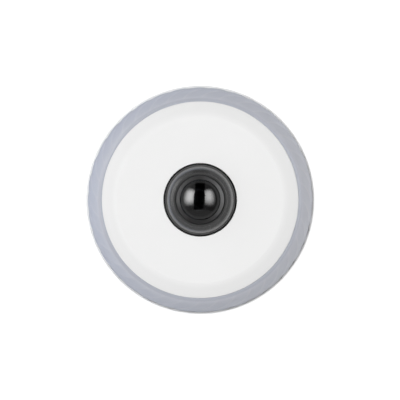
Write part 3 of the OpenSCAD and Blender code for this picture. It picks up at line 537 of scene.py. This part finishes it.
def circuit_board(tree):
    place = tree.point()
    tracks = tree.add("TexBrick", output="Fac", inputs={"Vector": place, **TRACKS})
    holes = {"Vector": place, "Scale": HOLE_SCALE}
    spot = tree.add("TexVoronoi", output="Distance", inputs=holes)
    via = 1 - tree.smooth(spot, *HOLE_FADE)
    return {
        "Base Color": tree.mix(via, tree.mix(tracks, LACQUER, LACQUER_TRACK), PLATED_HOLE),
        "Roughness": LACQUER_ROUGHNESS - via * HOLE_POLISH,
        "Metallic": via * HOLE_METAL,
        "Normal": tree.bump(tracks, depth=0.03),
    }


def wound_wire(tree):
    place = tree.point()
    x, y, z = tree.parts(place)
    cloud = tree.noise(place, size=1.2)
    return {
        "Base Color": tree.mix(cloud, COPPER, COPPER_LIGHT),
        "Roughness": tree.vary(cloud, middle=0.325, spread=0.15),
        "Normal": tree.bump(tree.waves(x, WIRE_PITCH), depth=0.05),
    }


print("wire turns are", WIRE_PITCH, "mm apart")

# %% [markdown]
# Each slot of the record gets one finish, and each piece wears the finish of its slot. A table
# keeps that in one place: the constants of the shader first, then what changes over the surface.
# The numbers after the colours are the roughness, and the sizes of grain or lines in millimetres.

# %% One finish per slot
METAL = {"Metallic": 1.0}
PLASTIC = {"IOR": 1.46}
GLASS = {
    "Transmission Weight": 1.0,
    "IOR": 1.5,
    "Specular IOR Level": 0.02,
    "Coat IOR": 1.5,
    "Coat Roughness": 0.0,
}
THIN_GLASS = {"Transmission Weight": 1.0, "IOR": 1.5}
MATT_WHITE = {"IOR": 1.46, "Specular IOR Level": 0.12}
SATIN_BAND = {"IOR": 1.5, "Specular IOR Level": 0.3}
BLACK_GLOSS = {"IOR": 1.5, "Specular IOR Level": 0.1, "Coat IOR": 2.2, "Coat Roughness": 0.16}

FINISHES = {
    "plate_steel": (METAL, rolled_steel((0.56, 0.57, 0.59), (0.66, 0.65, 0.61))),
    "cast_paint": ({"IOR": 1.5}, cast_paint),
    "band_plastic": (SATIN_BAND, satin_lavender),
    "cover_plastic": (MATT_WHITE, grained_white),
    "gasket_rubber": (PLASTIC, moulded((0.03, 0.03, 0.031), 0.75, 0.2, 0.01)),
    "screw_steel": (METAL, rolled_steel((0.5, 0.5, 0.51), (0.6, 0.59, 0.57), 0.3, 0.08)),
    "trim_gloss": (BLACK_GLOSS, polished_black),
    "lens_anodised": (METAL, turned_metal((0.09, 0.09, 0.091), 0.36)),
    "lens_glass": (GLASS, coated_glass),
    "black_plastic": (PLASTIC, moulded((0.022, 0.022, 0.023), 0.5)),
    "filter_cyan": (THIN_GLASS, clear_glass((0.3, 0.72, 0.8))),
    "filter_clear": (THIN_GLASS, clear_glass((0.88, 0.92, 0.91))),
    "magnet": ({"Metallic": 0.6}, moulded((0.1, 0.1, 0.105), 0.55, 0.15, 0.01)),
    "copper_wire": (METAL, wound_wire),
    "sensor_ceramic": (PLASTIC, moulded((0.045, 0.045, 0.05), 0.55, 0.1, 0.004)),
    "circuit_board": ({"IOR": 1.5}, circuit_board),
    "brass": (METAL, rolled_steel((0.72, 0.53, 0.22), (0.78, 0.6, 0.3), 0.28, 0.06)),
    "connector_plastic": (PLASTIC, moulded((0.66, 0.62, 0.5), 0.45)),
    "chip_plastic": (PLASTIC, moulded((0.018, 0.018, 0.019), 0.6, 0.12, 0.01)),
    "pad_silicone": (PLASTIC, moulded((0.24, 0.36, 0.44), 0.7, 0.4, 0.02)),
    "can_aluminium": (METAL, rolled_steel((0.72, 0.73, 0.75), (0.8, 0.8, 0.8), 0.26, 0.1)),
    "jack_shell": (METAL, rolled_steel((0.62, 0.62, 0.63), (0.7, 0.69, 0.67), 0.28, 0.1)),
    "plunger_plastic": (PLASTIC, moulded((0.45, 0.09, 0.05), 0.4)),
}
finishes = {slot: finish(slot, *given) for slot, given in FINISHES.items()}
slot_of = {s["node"]: s["material_slot"] for s in frame["record"]["subparts"]}
for name, piece in frame["nodes"].items():
    piece.data.materials.clear()
    piece.data.materials.append(finishes[slot_of[name]])
print("finishes:", len(finishes))

# %% [markdown]
# Most pieces of a lens are turned: one outline swept around the axis. The outline is a list of
# corners, each with its own fillet, because a moulded or machined edge is never sharp, and the
# thin highlight on that fillet is what makes an edge look real. Longer curves are arcs.

# %% Outlines
FILLET_STEPS = 5


def fillet(before, corner, after, radius):
    """Points of an arc of the radius that rounds a corner of an outline."""
    a = (Vector(before) - Vector(corner)).normalized()
    b = (Vector(after) - Vector(corner)).normalized()
    half = a.angle(b) / 2
    centre = Vector(corner) + (a + b).normalized() * (radius / math.sin(half))
    start = Vector(corner) + a * (radius / math.tan(half)) - centre
    end = Vector(corner) + b * (radius / math.tan(half)) - centre
    turn = start.angle_signed(end)
    points = []
    for i in range(FILLET_STEPS + 1):
        step = Matrix.Rotation(-turn * i / FILLET_STEPS, 2)
        points.append(centre + step @ start)
    return points


def rounded(corners):
    """An outline from (r, z) corners, of which those with a third number are rounded by it."""
    points = []
    for i, corner in enumerate(corners):
        before, after = corners[i - 1][:2], corners[(i + 1) % len(corners)][:2]
        if len(corner) == 3:
            points += fillet(before, corner[:2], after, corner[2])
        else:
            points.append(Vector(corner))
    return points


def arc(centre, radius, start, end, steps):
    """Points about a centre from one angle to another, in degrees from +r towards +z."""
    angles = [math.radians(start + (end - start) * i / steps) for i in range(steps + 1)]
    return [(centre[0] + radius * math.cos(t), centre[1] + radius * math.sin(t)) for t in angles]


print("a fillet has", FILLET_STEPS, "steps")

# %% [markdown]
# The lathe turns each point of an outline into a ring of points and joins the rings with faces. A
# point on the axis stays one point, so solid glass closes by itself. A screw modifier could turn
# the outline too, but its seam and its poles need merging afterwards. Faces shade smoothly over
# gentle bends and break at sharp ones, as real surfaces do.

# %% Lathe
SEGMENTS = 256
SHARP_ANGLE = math.radians(40)
AXIS_R = 1e-7


def smooth_mesh(shape, name):
    """A mesh from a bmesh, smooth except where it turns by more than the sharp angle."""
    bmesh.ops.recalc_face_normals(shape, faces=shape.faces)
    made = bpy.data.meshes.new(name)
    shape.to_mesh(made)
    shape.free()
    made.shade_smooth()
    made.set_sharp_from_angle(angle=SHARP_ANGLE)
    return made


def lathe(outline, segments=SEGMENTS):
    """A bmesh of a closed (r, z) outline, in metres, turned about the lens axis."""
    shape = bmesh.new()
    rings = []
    for r, z in outline:
        if r < AXIS_R:
            rings.append([shape.verts.new((0, 0, z))])
            continue
        angles = [math.tau * i / segments for i in range(segments)]
        rings.append([shape.verts.new((r * math.cos(t), r * math.sin(t), z)) for t in angles])
    on_axis = len(rings[0]) == 1 and len(rings[-1]) == 1
    for k, ring in enumerate(rings):
        if on_axis and k == len(rings) - 1:
            break
        after = rings[(k + 1) % len(rings)]
        for i in range(segments):
            j = (i + 1) % segments
            corners = [ring[i % len(ring)], ring[j % len(ring)]]
            corners += [after[j % len(after)], after[i % len(after)]]
            shape.faces.new(list(dict.fromkeys(corners)))
    return shape


print("turned pieces have", SEGMENTS, "segments")

# %% [markdown]
# A fine mesh never changes the CAD model. It is a new object that stands in for a node of the
# model. It hangs from an empty named for the node's body, and wears the finish of the node's
# slot.


# %% New pieces
def new_piece(name, mesh_data, body, slot, *nodes):
    """An object with its finish and body, which stands for the CAD nodes named last."""
    piece = bpy.data.objects.new(name, mesh_data)
    bpy.context.scene.collection.objects.link(piece)
    mesh_data.materials.append(finishes[slot])
    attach(piece, body)
    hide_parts(*nodes)


# %% [markdown]
# The front cover is a shallow cap, turned from one outline: flat in the middle, then a long roll
# down to a small corner radius. The roll starts with a faint crease, which draws a fine circle in
# the white, and bends on a little towards the edge. A narrow ring of faces at either side of the
# flat part keeps its shading level. The skirt goes down inside the band to the rear housing.

# %% Outline of the front cover
cover_low, cover_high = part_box("front_cover")
cover_r = cover_high.x
face_z = cover_high.z
skirt_z = cover_low.z
edge_z = band_high.z
flat_r = 40.1 * mm
corner_r = 0.5 * mm
cover_t = 2.0 * mm
ledge_w = 2.15 * mm
skirt_t = 1.8 * mm
skirt_r = cover_r - ledge_w
skirt_fillet = 0.2 * mm
hole_r = 17.65 * mm
hole_fillet = 0.15 * mm
support_w = 0.3 * mm
roll_drop = 2.0 * mm
roll_w = cover_r - corner_r - flat_r
roll_mean = math.degrees(math.atan(roll_drop / roll_w))
roll_bend = 3
roll_start, roll_end = roll_mean - roll_bend, roll_mean + roll_bend
roll_r = math.hypot(roll_w, roll_drop) / (2 * math.sin(math.radians(roll_bend)))
roll_c = (
    flat_r - roll_r * math.sin(math.radians(roll_start)),
    face_z - roll_r * math.cos(math.radians(roll_start)),
)
corner_c = (
    cover_r - corner_r,
    face_z - roll_drop - corner_r * math.cos(math.radians(roll_end)),
)

cover_outline = rounded([
    (skirt_r - skirt_t, skirt_z, skirt_fillet),
    (skirt_r - skirt_t, face_z - cover_t),
    (hole_r, face_z - cover_t),
    (hole_r, face_z, hole_fillet),
    (hole_r + support_w, face_z),
    (flat_r - support_w, face_z),
    *arc(roll_c, roll_r, 90 - roll_start, 90 - roll_end, steps=24),
    *arc(corner_c, corner_r, 90 - roll_end, 0, steps=8)[1:],
    (cover_r, edge_z),
    (skirt_r, edge_z),
    (skirt_r, skirt_z, skirt_fillet),
])
print("the roll turns from", round(roll_start, 1), "to", round(roll_end, 1), "degrees")

# %% [markdown]
# Three bosses on the skirt take the screws from the back. A round boss grows out of a curved wall
# here, so an exact boolean joins them, and another one drills the blind holes.

# %% Front cover with its screw bosses
screw_angles = [math.radians(a) for a in (30, 150, 270)]
boss_r = 2.9 * mm
boss_lift = 0.2 * mm
boss_top = 22 * mm
boss_hole_r = 1.55 * mm
boss_roof = 0.5 * mm
overrun = 1 * mm
screw_circle = -cover_low.y - boss_r
screw_spots = [(screw_circle * math.cos(a), screw_circle * math.sin(a)) for a in screw_angles]


def cylinder(radius, z_low, z_high, place=(0, 0), segments=48):
    """A plain cylinder mesh, which serves as a tool or a boss."""
    shape = bmesh.new()
    bmesh.ops.create_cone(
        shape, cap_ends=True, segments=segments, radius1=radius, radius2=radius,
        depth=z_high - z_low,
        matrix=Matrix.Translation((*place, (z_low + z_high) / 2)),
    )
    made = bpy.data.meshes.new("cylinder")
    shape.to_mesh(made)
    shape.free()
    return made


def cut_or_join(shape_mesh, tool_meshes, operation):
    """The mesh after an exact boolean with each tool in turn."""
    body = bpy.data.objects.new("work", shape_mesh)
    bpy.context.scene.collection.objects.link(body)
    tools = []
    for tool_mesh in tool_meshes:
        tool = bpy.data.objects.new("tool", tool_mesh)
        bpy.context.scene.collection.objects.link(tool)
        modifier = body.modifiers.new("boolean", "BOOLEAN")
        modifier.operation, modifier.object, modifier.solver = operation, tool, "EXACT"
        tools.append(tool)
    bpy.context.view_layer.update()
    graph = bpy.context.evaluated_depsgraph_get()
    result = bpy.data.meshes.new_from_object(body.evaluated_get(graph))
    for used in [body, *tools]:
        bpy.data.objects.remove(used)
    return result


cover_mesh = smooth_mesh(lathe(cover_outline), "front_cover_fine")
bosses = [cylinder(boss_r, skirt_z + boss_lift, boss_top, spot) for spot in screw_spots]
cover_mesh = cut_or_join(cover_mesh, bosses, "UNION")
hole_span = (skirt_z - overrun, boss_top - boss_roof)
holes = [cylinder(boss_hole_r, *hole_span, spot) for spot in screw_spots]
cover_mesh = cut_or_join(cover_mesh, holes, "DIFFERENCE")
cover_mesh.materials.clear()
cover_mesh.shade_smooth()
cover_mesh.set_sharp_from_angle(angle=SHARP_ANGLE)
new_piece("cover_shell", cover_mesh, "camera", "cover_plastic", "front_cover")
print("front cover:", len(cover_mesh.polygons), "faces")

# %% [markdown]
# The band is what gives this camera its character: 36 shallow scoops that twist as they widen
# towards the base, like the flutes of a cut glass. Its section is a quarter ellipse, so from the
# front it looks narrow although it is as tall as the camera's side. The rows follow the ellipse's
# angle, and the columns follow the twist, so every ridge lies on a line of edges.

# %% Faceted band
facets = 36
facet_columns = 12
facet_depth = 0.45 * mm
facet_twist = math.radians(22)
ridge_power = 6
outer_rows = 44
inner_rows = 8
band_t = 2.2 * mm
band_w = 6.75 * mm
band_front_r = band_high.x - band_w
band_height = band_high.z - band_low.z


def band_point(share, column, inset, scooped):
    """A point of the band and how near it is to a ridge. Share is 0 in front, 1 at the base."""
    angle = math.pi / 2 * share
    along = (column % facet_columns) / facet_columns
    hollow = 4 * along * (1 - along)
    r = band_front_r + band_w * math.sin(angle) - inset
    if scooped:
        r -= facet_depth * math.sin(angle) * hollow
    turn = math.tau * column / (facets * facet_columns) - facet_twist * (1 - math.cos(angle))
    z = band_high.z - band_height * (1 - math.cos(angle))
    return (r * math.cos(turn), r * math.sin(turn), z), 1 - hollow


def faceted_band():
    shape = bmesh.new()
    ridge = shape.verts.layers.float.new("ridge")
    columns = facets * facet_columns
    rings = []
    rows = [(i / outer_rows, 0, True) for i in range(outer_rows + 1)]
    rows += [(1 - i / inner_rows, band_t, False) for i in range(inner_rows + 1)]
    for share, inset, scooped in rows:
        ring = []
        for column in range(columns):
            place, near = band_point(share, column, inset, scooped)
            vertex = shape.verts.new(place)
            vertex[ridge] = near**ridge_power * math.sin(math.pi / 2 * share)
            ring.append(vertex)
        rings.append(ring)
    for k, ring in enumerate(rings):
        after = rings[(k + 1) % len(rings)]
        for i in range(columns):
            j = (i + 1) % columns
            shape.faces.new([ring[i], ring[j], after[j], after[i]])
    return smooth_mesh(shape, "faceted_band")


band_mesh = faceted_band()
new_piece("faceted_band", band_mesh, "camera", "band_plastic", "side_ring")
print("band:", len(band_mesh.polygons), "faces,", facets, "scoops")

# %% [markdown]
# Around the lens stands a glossy black collar. Its wall rises from a narrow shadow gap in the face
# to a round shoulder that catches the light all the way round, and a cone climbs from there to
# the glass. A fine step ends the cone. The lip above it falls outwards a little, and a dark gap
# parts it from the ring of the front lens.

# %% Lens collar
trim_low, trim_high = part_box("lens_trim_ring")
foot_r = 16.8 * mm
shoulder_r = 7.3 * mm
shoulder_rise = 2.972 * mm
shoulder_z = face_z + shoulder_rise
draft = 1
slope = 38
shoulder_c = (
    foot_r
    - shoulder_rise * math.tan(math.radians(draft))
    - shoulder_r / math.cos(math.radians(draft))
)
bore_r = 12 * mm
lip_r = 13 * mm
lip_h = 0.35 * mm
lip_fall = 0.14 * mm
tube_t = 1.6 * mm
tube_l = 6.4 * mm
wall_t = 1.8 * mm
wall_r = shoulder_c + shoulder_r * math.cos(math.radians(draft)) - wall_t
lip_top = trim_high.z
tube_low = lip_top - tube_l
under_z = shoulder_z - wall_t / 2
back_z = face_z - cover_t
mouth_fillet = 0.06 * mm
step_fillet = 0.05 * mm
end_fillet = 0.15 * mm
inner_fillet = 0.3 * mm

collar_outline = rounded([
    (bore_r, tube_low, end_fillet),
    (bore_r, lip_top, mouth_fillet),
    (lip_r, lip_top - lip_fall, step_fillet),
    (lip_r, lip_top - lip_h, step_fillet),
    *arc((shoulder_c, shoulder_z), shoulder_r, 90 - slope, draft, steps=28),
    (foot_r, face_z),
    (foot_r, back_z),
    (trim_high.x, back_z),
    (trim_high.x, trim_low.z, end_fillet),
    (foot_r - wall_t, trim_low.z, end_fillet),
    (foot_r - wall_t, face_z),
    (wall_r, under_z, inner_fillet),
    (bore_r + tube_t, under_z, inner_fillet),
    (bore_r + tube_t, tube_low, end_fillet),
])
collar_mesh = smooth_mesh(lathe(collar_outline), "lens_collar")
new_piece("lens_collar", collar_mesh, "camera", "trim_gloss", "lens_trim_ring")
print("collar:", len(collar_mesh.polygons), "faces")

# %% [markdown]
# The ring that holds the front lens is black anodised aluminium, turned on a lathe. Its inner
# edge follows the ball of the lens, so only a hairline of shadow shows between ring and glass.
# Its top falls outwards by some degrees, so it shows the walls and not the dark strip overhead.

# %% Retaining ring
ring_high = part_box("lens_retaining_ring")[1]
ball_gap = 0.05 * mm
seat_r = ball_r + ball_gap
clear_r = 9.7 * mm
crown_start = 8
crown_end = 9.5
crown_edge = 0.08 * mm
ring_edge_h = 0.6 * mm
ring_fillet = 0.05 * mm


def ball_angle(radius, r):
    """Angle above the horizon at which a ball of the radius reaches r."""
    return math.degrees(math.acos(r / radius))


crown_r = (ring_high.x - crown_edge - clear_r) / (
    math.sin(math.radians(crown_end)) - math.sin(math.radians(crown_start))
)
crown_c = (
    clear_r - crown_r * math.sin(math.radians(crown_start)),
    ring_high.z - crown_r * math.cos(math.radians(crown_start)),
)
seat_start, seat_end = ball_angle(seat_r, ring_high.x), ball_angle(seat_r, clear_r)
ring_outline = rounded([
    *arc((0, ball_centre), seat_r, seat_start, seat_end, steps=12),
    *arc(crown_c, crown_r, 90 - crown_start, 90 - crown_end, steps=12),
    (ring_high.x, ring_high.z - ring_edge_h, ring_fillet),
])
ring_mesh = smooth_mesh(lathe(ring_outline), "retaining_ring")
new_piece("retaining_ring", ring_mesh, "camera", "lens_anodised", "lens_retaining_ring")
print("retaining ring:", len(ring_mesh.polygons), "faces")

# %% [markdown]
# A fisheye lens starts with two meniscus lenses: a ball on the outside and a deeper hollow inside.
# One function draws both outlines, with their real thickness, because the glass bends what is
# seen through it.

# %% Front lens and second lens
hollow_r = 7.2 * mm
glass_t = 1.5 * mm
cup_r = 4.6 * mm
cup_edge = 4.2 * mm
meniscus_r = 14 * mm
second_low, second_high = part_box("second_lens")
hollow_centre = dome_high.z - glass_t - hollow_r
cup_centre = second_low.z - math.sqrt(cup_r**2 - cup_edge**2)


def meniscus(low, high, outer_r, inner_r, inner_centre, outer_steps, inner_steps):
    """The outline of a lens between a ball and a hollow, in the box from low to high."""
    edge_r = math.sqrt(inner_r**2 - (low.z - inner_centre) ** 2)
    outer_end, inner_start = ball_angle(outer_r, high.x), ball_angle(inner_r, edge_r)
    return [
        *arc((0, high.z - outer_r), outer_r, 90, outer_end, outer_steps),
        (high.x, low.z),
        *arc((0, inner_centre), inner_r, inner_start, 90, inner_steps),
    ]


dome_outline = meniscus(
    dome_low, dome_high, ball_r, hollow_r, hollow_centre, outer_steps=32, inner_steps=24
)
dome_mesh = smooth_mesh(lathe(dome_outline, segments=192), "front_glass")
new_piece("front_glass", dome_mesh, "camera", "lens_glass", "front_lens")
second_outline = meniscus(
    second_low, second_high, meniscus_r, cup_r, cup_centre, outer_steps=20, inner_steps=20
)
second_mesh = smooth_mesh(lathe(second_outline, segments=128), "second_glass")
new_piece("second_glass", second_mesh, "camera", "lens_glass", "second_lens")
print("front lens:", len(dome_mesh.polygons), "faces, second:", len(second_mesh.polygons))

# %% [markdown]
# Three pan-head screws hold the casting to the cover. A real head is domed, with a hexagon recess.
# One screw is turned on the lathe and cut, and copies of it go to the three places.

# %% Housing screws
screw_low, screw_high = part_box("housing_screws")
head_z = 7 * mm
head_r = 2.6 * mm
head_h = head_z - screw_low.z
shank_r = 1.5 * mm
tip_fillet = 0.2 * mm
rim_fillet = 0.1 * mm
head_fillet = 0.5 * mm
head_share = 0.55
screw_turns = (0.3, 1.1, 0.7)

screw_outline = rounded([
    (0, screw_high.z),
    (shank_r, screw_high.z, tip_fillet),
    (shank_r, head_z),
    (head_r, head_z, rim_fillet),
    (head_r, head_z - head_h * head_share, head_fillet),
    (head_r * head_share, screw_low.z, head_fillet),
    (0, screw_low.z),
])
one_screw = smooth_mesh(lathe(screw_outline, segments=48), "one_screw")
hexagon = cylinder(head_r / 2, screw_low.z - overrun, screw_low.z + head_h / 2, segments=6)
one_screw = cut_or_join(one_screw, [hexagon], "DIFFERENCE")
screws = bmesh.new()
for spot, turn in zip(screw_spots, screw_turns):
    before = len(screws.verts)
    screws.from_mesh(one_screw)
    screws.verts.ensure_lookup_table()
    move = Matrix.Translation((*spot, 0)) @ Matrix.Rotation(turn, 4, "Z")
    bmesh.ops.transform(screws, matrix=move, verts=screws.verts[before:])
screw_mesh = smooth_mesh(screws, "hexagon_screws")
screw_mesh.materials.clear()
new_piece("hexagon_screws", screw_mesh, "camera", "screw_steel", "housing_screws")
print("screws:", len(screw_mesh.polygons), "faces")

# %% [markdown]
# The light is a plain studio. One lamp hangs nearly overhead and leans a little to the north-west.
# The lens then casts hardly a shadow on the face, and the roll and the rim are lighter on that
# side. A large soft box on each side draws a soft window on the front glass, with a dark gap
# between them. Matt surfaces ignore the boxes and glossy ones ignore the lamp, as a retoucher
# would have it.

# %% Lamps
KEY_AWAY = 1.0
KEY_SIZE = 0.15
BOX_AWAY = 0.9
BOX_WIDTH = 1.5
BOX_SIDE_FADE = 0.42
BOX_EDGE_FADE = 0.08
BOX_RISE = (0.05, 0.62)
BOX_FALL = (0.68, 1.0)
BOX_FALL_SHARE = 0.3


def area_lamp(name, azimuth, elevation, away, width, height, radiance, north=0.0):
    """A rectangular lamp that faces the lens from that direction, moved north by some metres."""
    a, e = math.radians(azimuth), math.radians(elevation)
    out = Vector((math.cos(a) * math.cos(e), math.sin(a) * math.cos(e), math.sin(e)))
    side = Vector((-math.sin(a), math.cos(a), 0))
    lamp = bpy.data.lights.new(name, "AREA")
    lamp.shape, lamp.size, lamp.size_y = "RECTANGLE", width, height
    lamp.energy = radiance * math.pi * width * height
    holder = bpy.data.objects.new(name, lamp)
    turn = Matrix((side, out.cross(side), out)).transposed().to_4x4()
    holder.matrix_world = Matrix.Translation(Vector((0, north, face_z)) + out * away) @ turn
    holder.visible_camera = False
    holder.visible_transmission = False
    bpy.context.scene.collection.objects.link(holder)
    return holder


def soft_box(name, azimuth, elevation, height, north, radiance):
    """A lamp for reflections only. Its upper edge is crisp and the other three fade."""
    box = area_lamp(name, azimuth, elevation, BOX_AWAY, BOX_WIDTH, height, radiance, north)
    box.visible_diffuse = False
    box.data.use_nodes = True
    tree = Tree(box.data.node_tree)
    u, v = tree.parts(tree.add("NewGeometry", output="Parametric"))[:2]
    sides = tree.smooth(u, 0.0, BOX_SIDE_FADE) * tree.smooth(1 - u, 0.0, BOX_SIDE_FADE)
    middle = tree.smooth(v, *BOX_RISE) * (1 - BOX_FALL_SHARE * tree.smooth(v, *BOX_FALL))
    glow = sides * middle * tree.smooth(1 - v, 0.0, BOX_EDGE_FADE)
    tree.feed(box.data.node_tree.nodes["Emission"].inputs["Strength"], glow)


key = area_lamp(
    "key_lamp", azimuth=138, elevation=86.9, away=KEY_AWAY,
    width=KEY_SIZE, height=KEY_SIZE, radiance=130.4,
)
key.visible_glossy = False
soft_box("left_box", azimuth=177, elevation=35.1, height=1.0, north=0.22, radiance=6.4)
soft_box("right_box", azimuth=-3, elevation=43.0, height=0.95, north=0.3, radiance=5.1)
print("lamps:", [lamp.name for lamp in bpy.data.lights])

# %% [markdown]
# The room around is dim, a little lighter on the left and low in the south. A black strip hangs
# overhead, between the boxes. It is drawn along the middle direction between each ray and the lens
# axis, because a ball shows it with straight sides then, and it leans a little. A small guard keeps
# that sum away from zero straight below. A sweep of paper stands on the horizon, stronger to the
# east and west. Matt surfaces see less than half of this light and a soft fill from the west, so
# the sweep shapes the black collar and leaves the face alone. Glossy rays see the room and not a
# white void, because the round glass mirrors it in the photograph. The view itself is white all
# round.

# %% The room
SWEEP = (0.42, 0.42, 0.42)
DIM_LEFT = (0.26, 0.26, 0.26)
DIM_RIGHT = (0.12, 0.12, 0.12)
REFLECTOR = (0.26, 0.26, 0.26)
STRIP = (0.005, 0.005, 0.005)
SEEN_WHITE = (1, 1, 1)
STRIP_LEAN = 0.067
STRIP_START = (-0.222, -0.216)
STRIP_END = (0.139, 0.145)
ROOM_LEAN = 0.4
ROOM_SIDES = (-0.9, 0.7)
REFLECTOR_FADE = (0.66, 0.69)
SWEEP_TOP = (0.1, 0.3)
SWEEP_SIDE_SHARE = 0.3
SWEEP_NORTH = (0.2, 1.0)
SWEEP_NORTH_SHARE = 0.15
MATT_SHARE = 0.4
FILL_FADE = (-0.3, 1.0)
FILL_SHARE = 0.16
NADIR_GUARD = 0.001

world = bpy.data.worlds.new("room")
bpy.context.scene.world = world
world.use_nodes = True
room = Tree(world.node_tree)
east, north, up = room.parts(room.add("TexCoord", output="Generated"))
across = (east - north * STRIP_LEAN) / ((up + (1 + NADIR_GUARD)) * 2) ** 0.5
strip = room.smooth(across, *STRIP_START) * (1 - room.smooth(across, *STRIP_END))
side = room.smooth(east - north * ROOM_LEAN, *ROOM_SIDES)
walls = room.mix(strip, room.mix(side, DIM_LEFT, DIM_RIGHT), STRIP)
walls = room.mix(room.smooth(0 - north, *REFLECTOR_FADE), walls, REFLECTOR)
sweep_sides = SWEEP_SIDE_SHARE * east * east + (1 - SWEEP_SIDE_SHARE)
sweep_north = SWEEP_NORTH_SHARE * room.smooth(north, *SWEEP_NORTH)
sweep = (1 - room.smooth(up, *SWEEP_TOP)) * (sweep_sides - sweep_north)
light = room.mix(sweep, walls, SWEEP)
fill = FILL_SHARE * room.smooth(0 - east, *FILL_FADE)
matt = room.add("LightPath", output="Is Diffuse Ray")
light = room.mix(matt, light, light * MATT_SHARE + fill)
seen = room.add("LightPath", output="Is Camera Ray")
light = room.mix(seen, light, SEEN_WHITE)
room.feed(world.node_tree.nodes["Background"].inputs["Color"], light)
print("the room is worked out by", len(world.node_tree.nodes), "nodes")

# %% [markdown]
# The floor is pale paper, lit well enough to read as white. Part of its light is its own glow, so
# the body leaves only a faint shadow, and the light that it sends back up fills the band. That
# glow is bluer on the left. Close to the body it is weaker, a painted shadow where the body itself
# would stand in the light. It is weaker to the north and south, and far away too. Distances are in
# millimetres.

# %% Floor
FLOOR_R = 12.0
FLOOR_GLOW = 0.78
GLOW_LEFT = (1.24, 1.36, 1.66)
GLOW_RIGHT = (1.18, 1.18, 1.2)
SEEN_NEAR = (1, 1, 1)
SEEN_FAR = (1.28, 1.28, 1.28)
PAPER = (0.34, 0.34, 0.34)
PAPER_FIBRE = (0.36, 0.36, 0.36)
FLOOR_LEAN = 0.15
FLOOR_SIDES = (-120.0, 120.0)
ENDS_SQUARED = (400.0, 14400.0)
ENDS_SHARE = 0.42
FAR_SQUARED = (10000.0, 300000.0)
FAR_SHARE = 0.6
NEAR_SHADOW_FADE = (50.0, 125.0)
NEAR_SHADOW_SHARE = 0.52
NEAR_SHADOW_EAST_SHARE = 0.4
NEAR_SHADOW_SOUTH_SHARE = 0.12
SOUTH_FADE = (0.0, 60.0)


def paper_floor(tree):
    place = tree.point()
    fibre = tree.noise(place, size=1.5, detail=3)
    x, y, z = tree.parts(place)
    side = tree.smooth(x - y * FLOOR_LEAN, *FLOOR_SIDES)
    ends = tree.smooth(y * y, *ENDS_SQUARED)
    far = tree.smooth(x * x + y * y, *FAR_SQUARED)
    # Painted shadow: the glow is weaker close to the body.
    near = 1 - tree.smooth(tree.radius(place), *NEAR_SHADOW_FADE)
    south = tree.smooth(0 - y, *SOUTH_FADE)
    near_shadow_share = NEAR_SHADOW_SHARE - NEAR_SHADOW_EAST_SHARE * side + NEAR_SHADOW_SOUTH_SHARE * south
    fall = (1 - ENDS_SHARE * ends) * (1 - FAR_SHARE * far) * (1 - near * near_shadow_share)
    glow = tree.mix(side, GLOW_LEFT, GLOW_RIGHT) * fall
    seen = tree.add("LightPath", output="Is Camera Ray")
    return {
        "Emission Color": tree.mix(seen, glow, tree.mix(far, SEEN_NEAR, SEEN_FAR)),
        "Base Color": tree.mix(fibre, PAPER, PAPER_FIBRE),
        "Roughness": tree.vary(fibre, middle=0.9, spread=0.1),
    }


floor_shape = bmesh.new()
bmesh.ops.create_circle(floor_shape, cap_ends=True, segments=96, radius=FLOOR_R)
floor_mesh = bpy.data.meshes.new("floor")
floor_shape.to_mesh(floor_mesh)
floor_shape.free()
floor = bpy.data.objects.new("floor", floor_mesh)
bpy.context.scene.collection.objects.link(floor)
floor_light = {"Emission Strength": FLOOR_GLOW, "Specular IOR Level": 0.0}
floor_mesh.materials.append(finish("floor_paper", floor_light, paper_floor))
print("the floor reaches", FLOOR_R, "m out")

# %% [markdown]
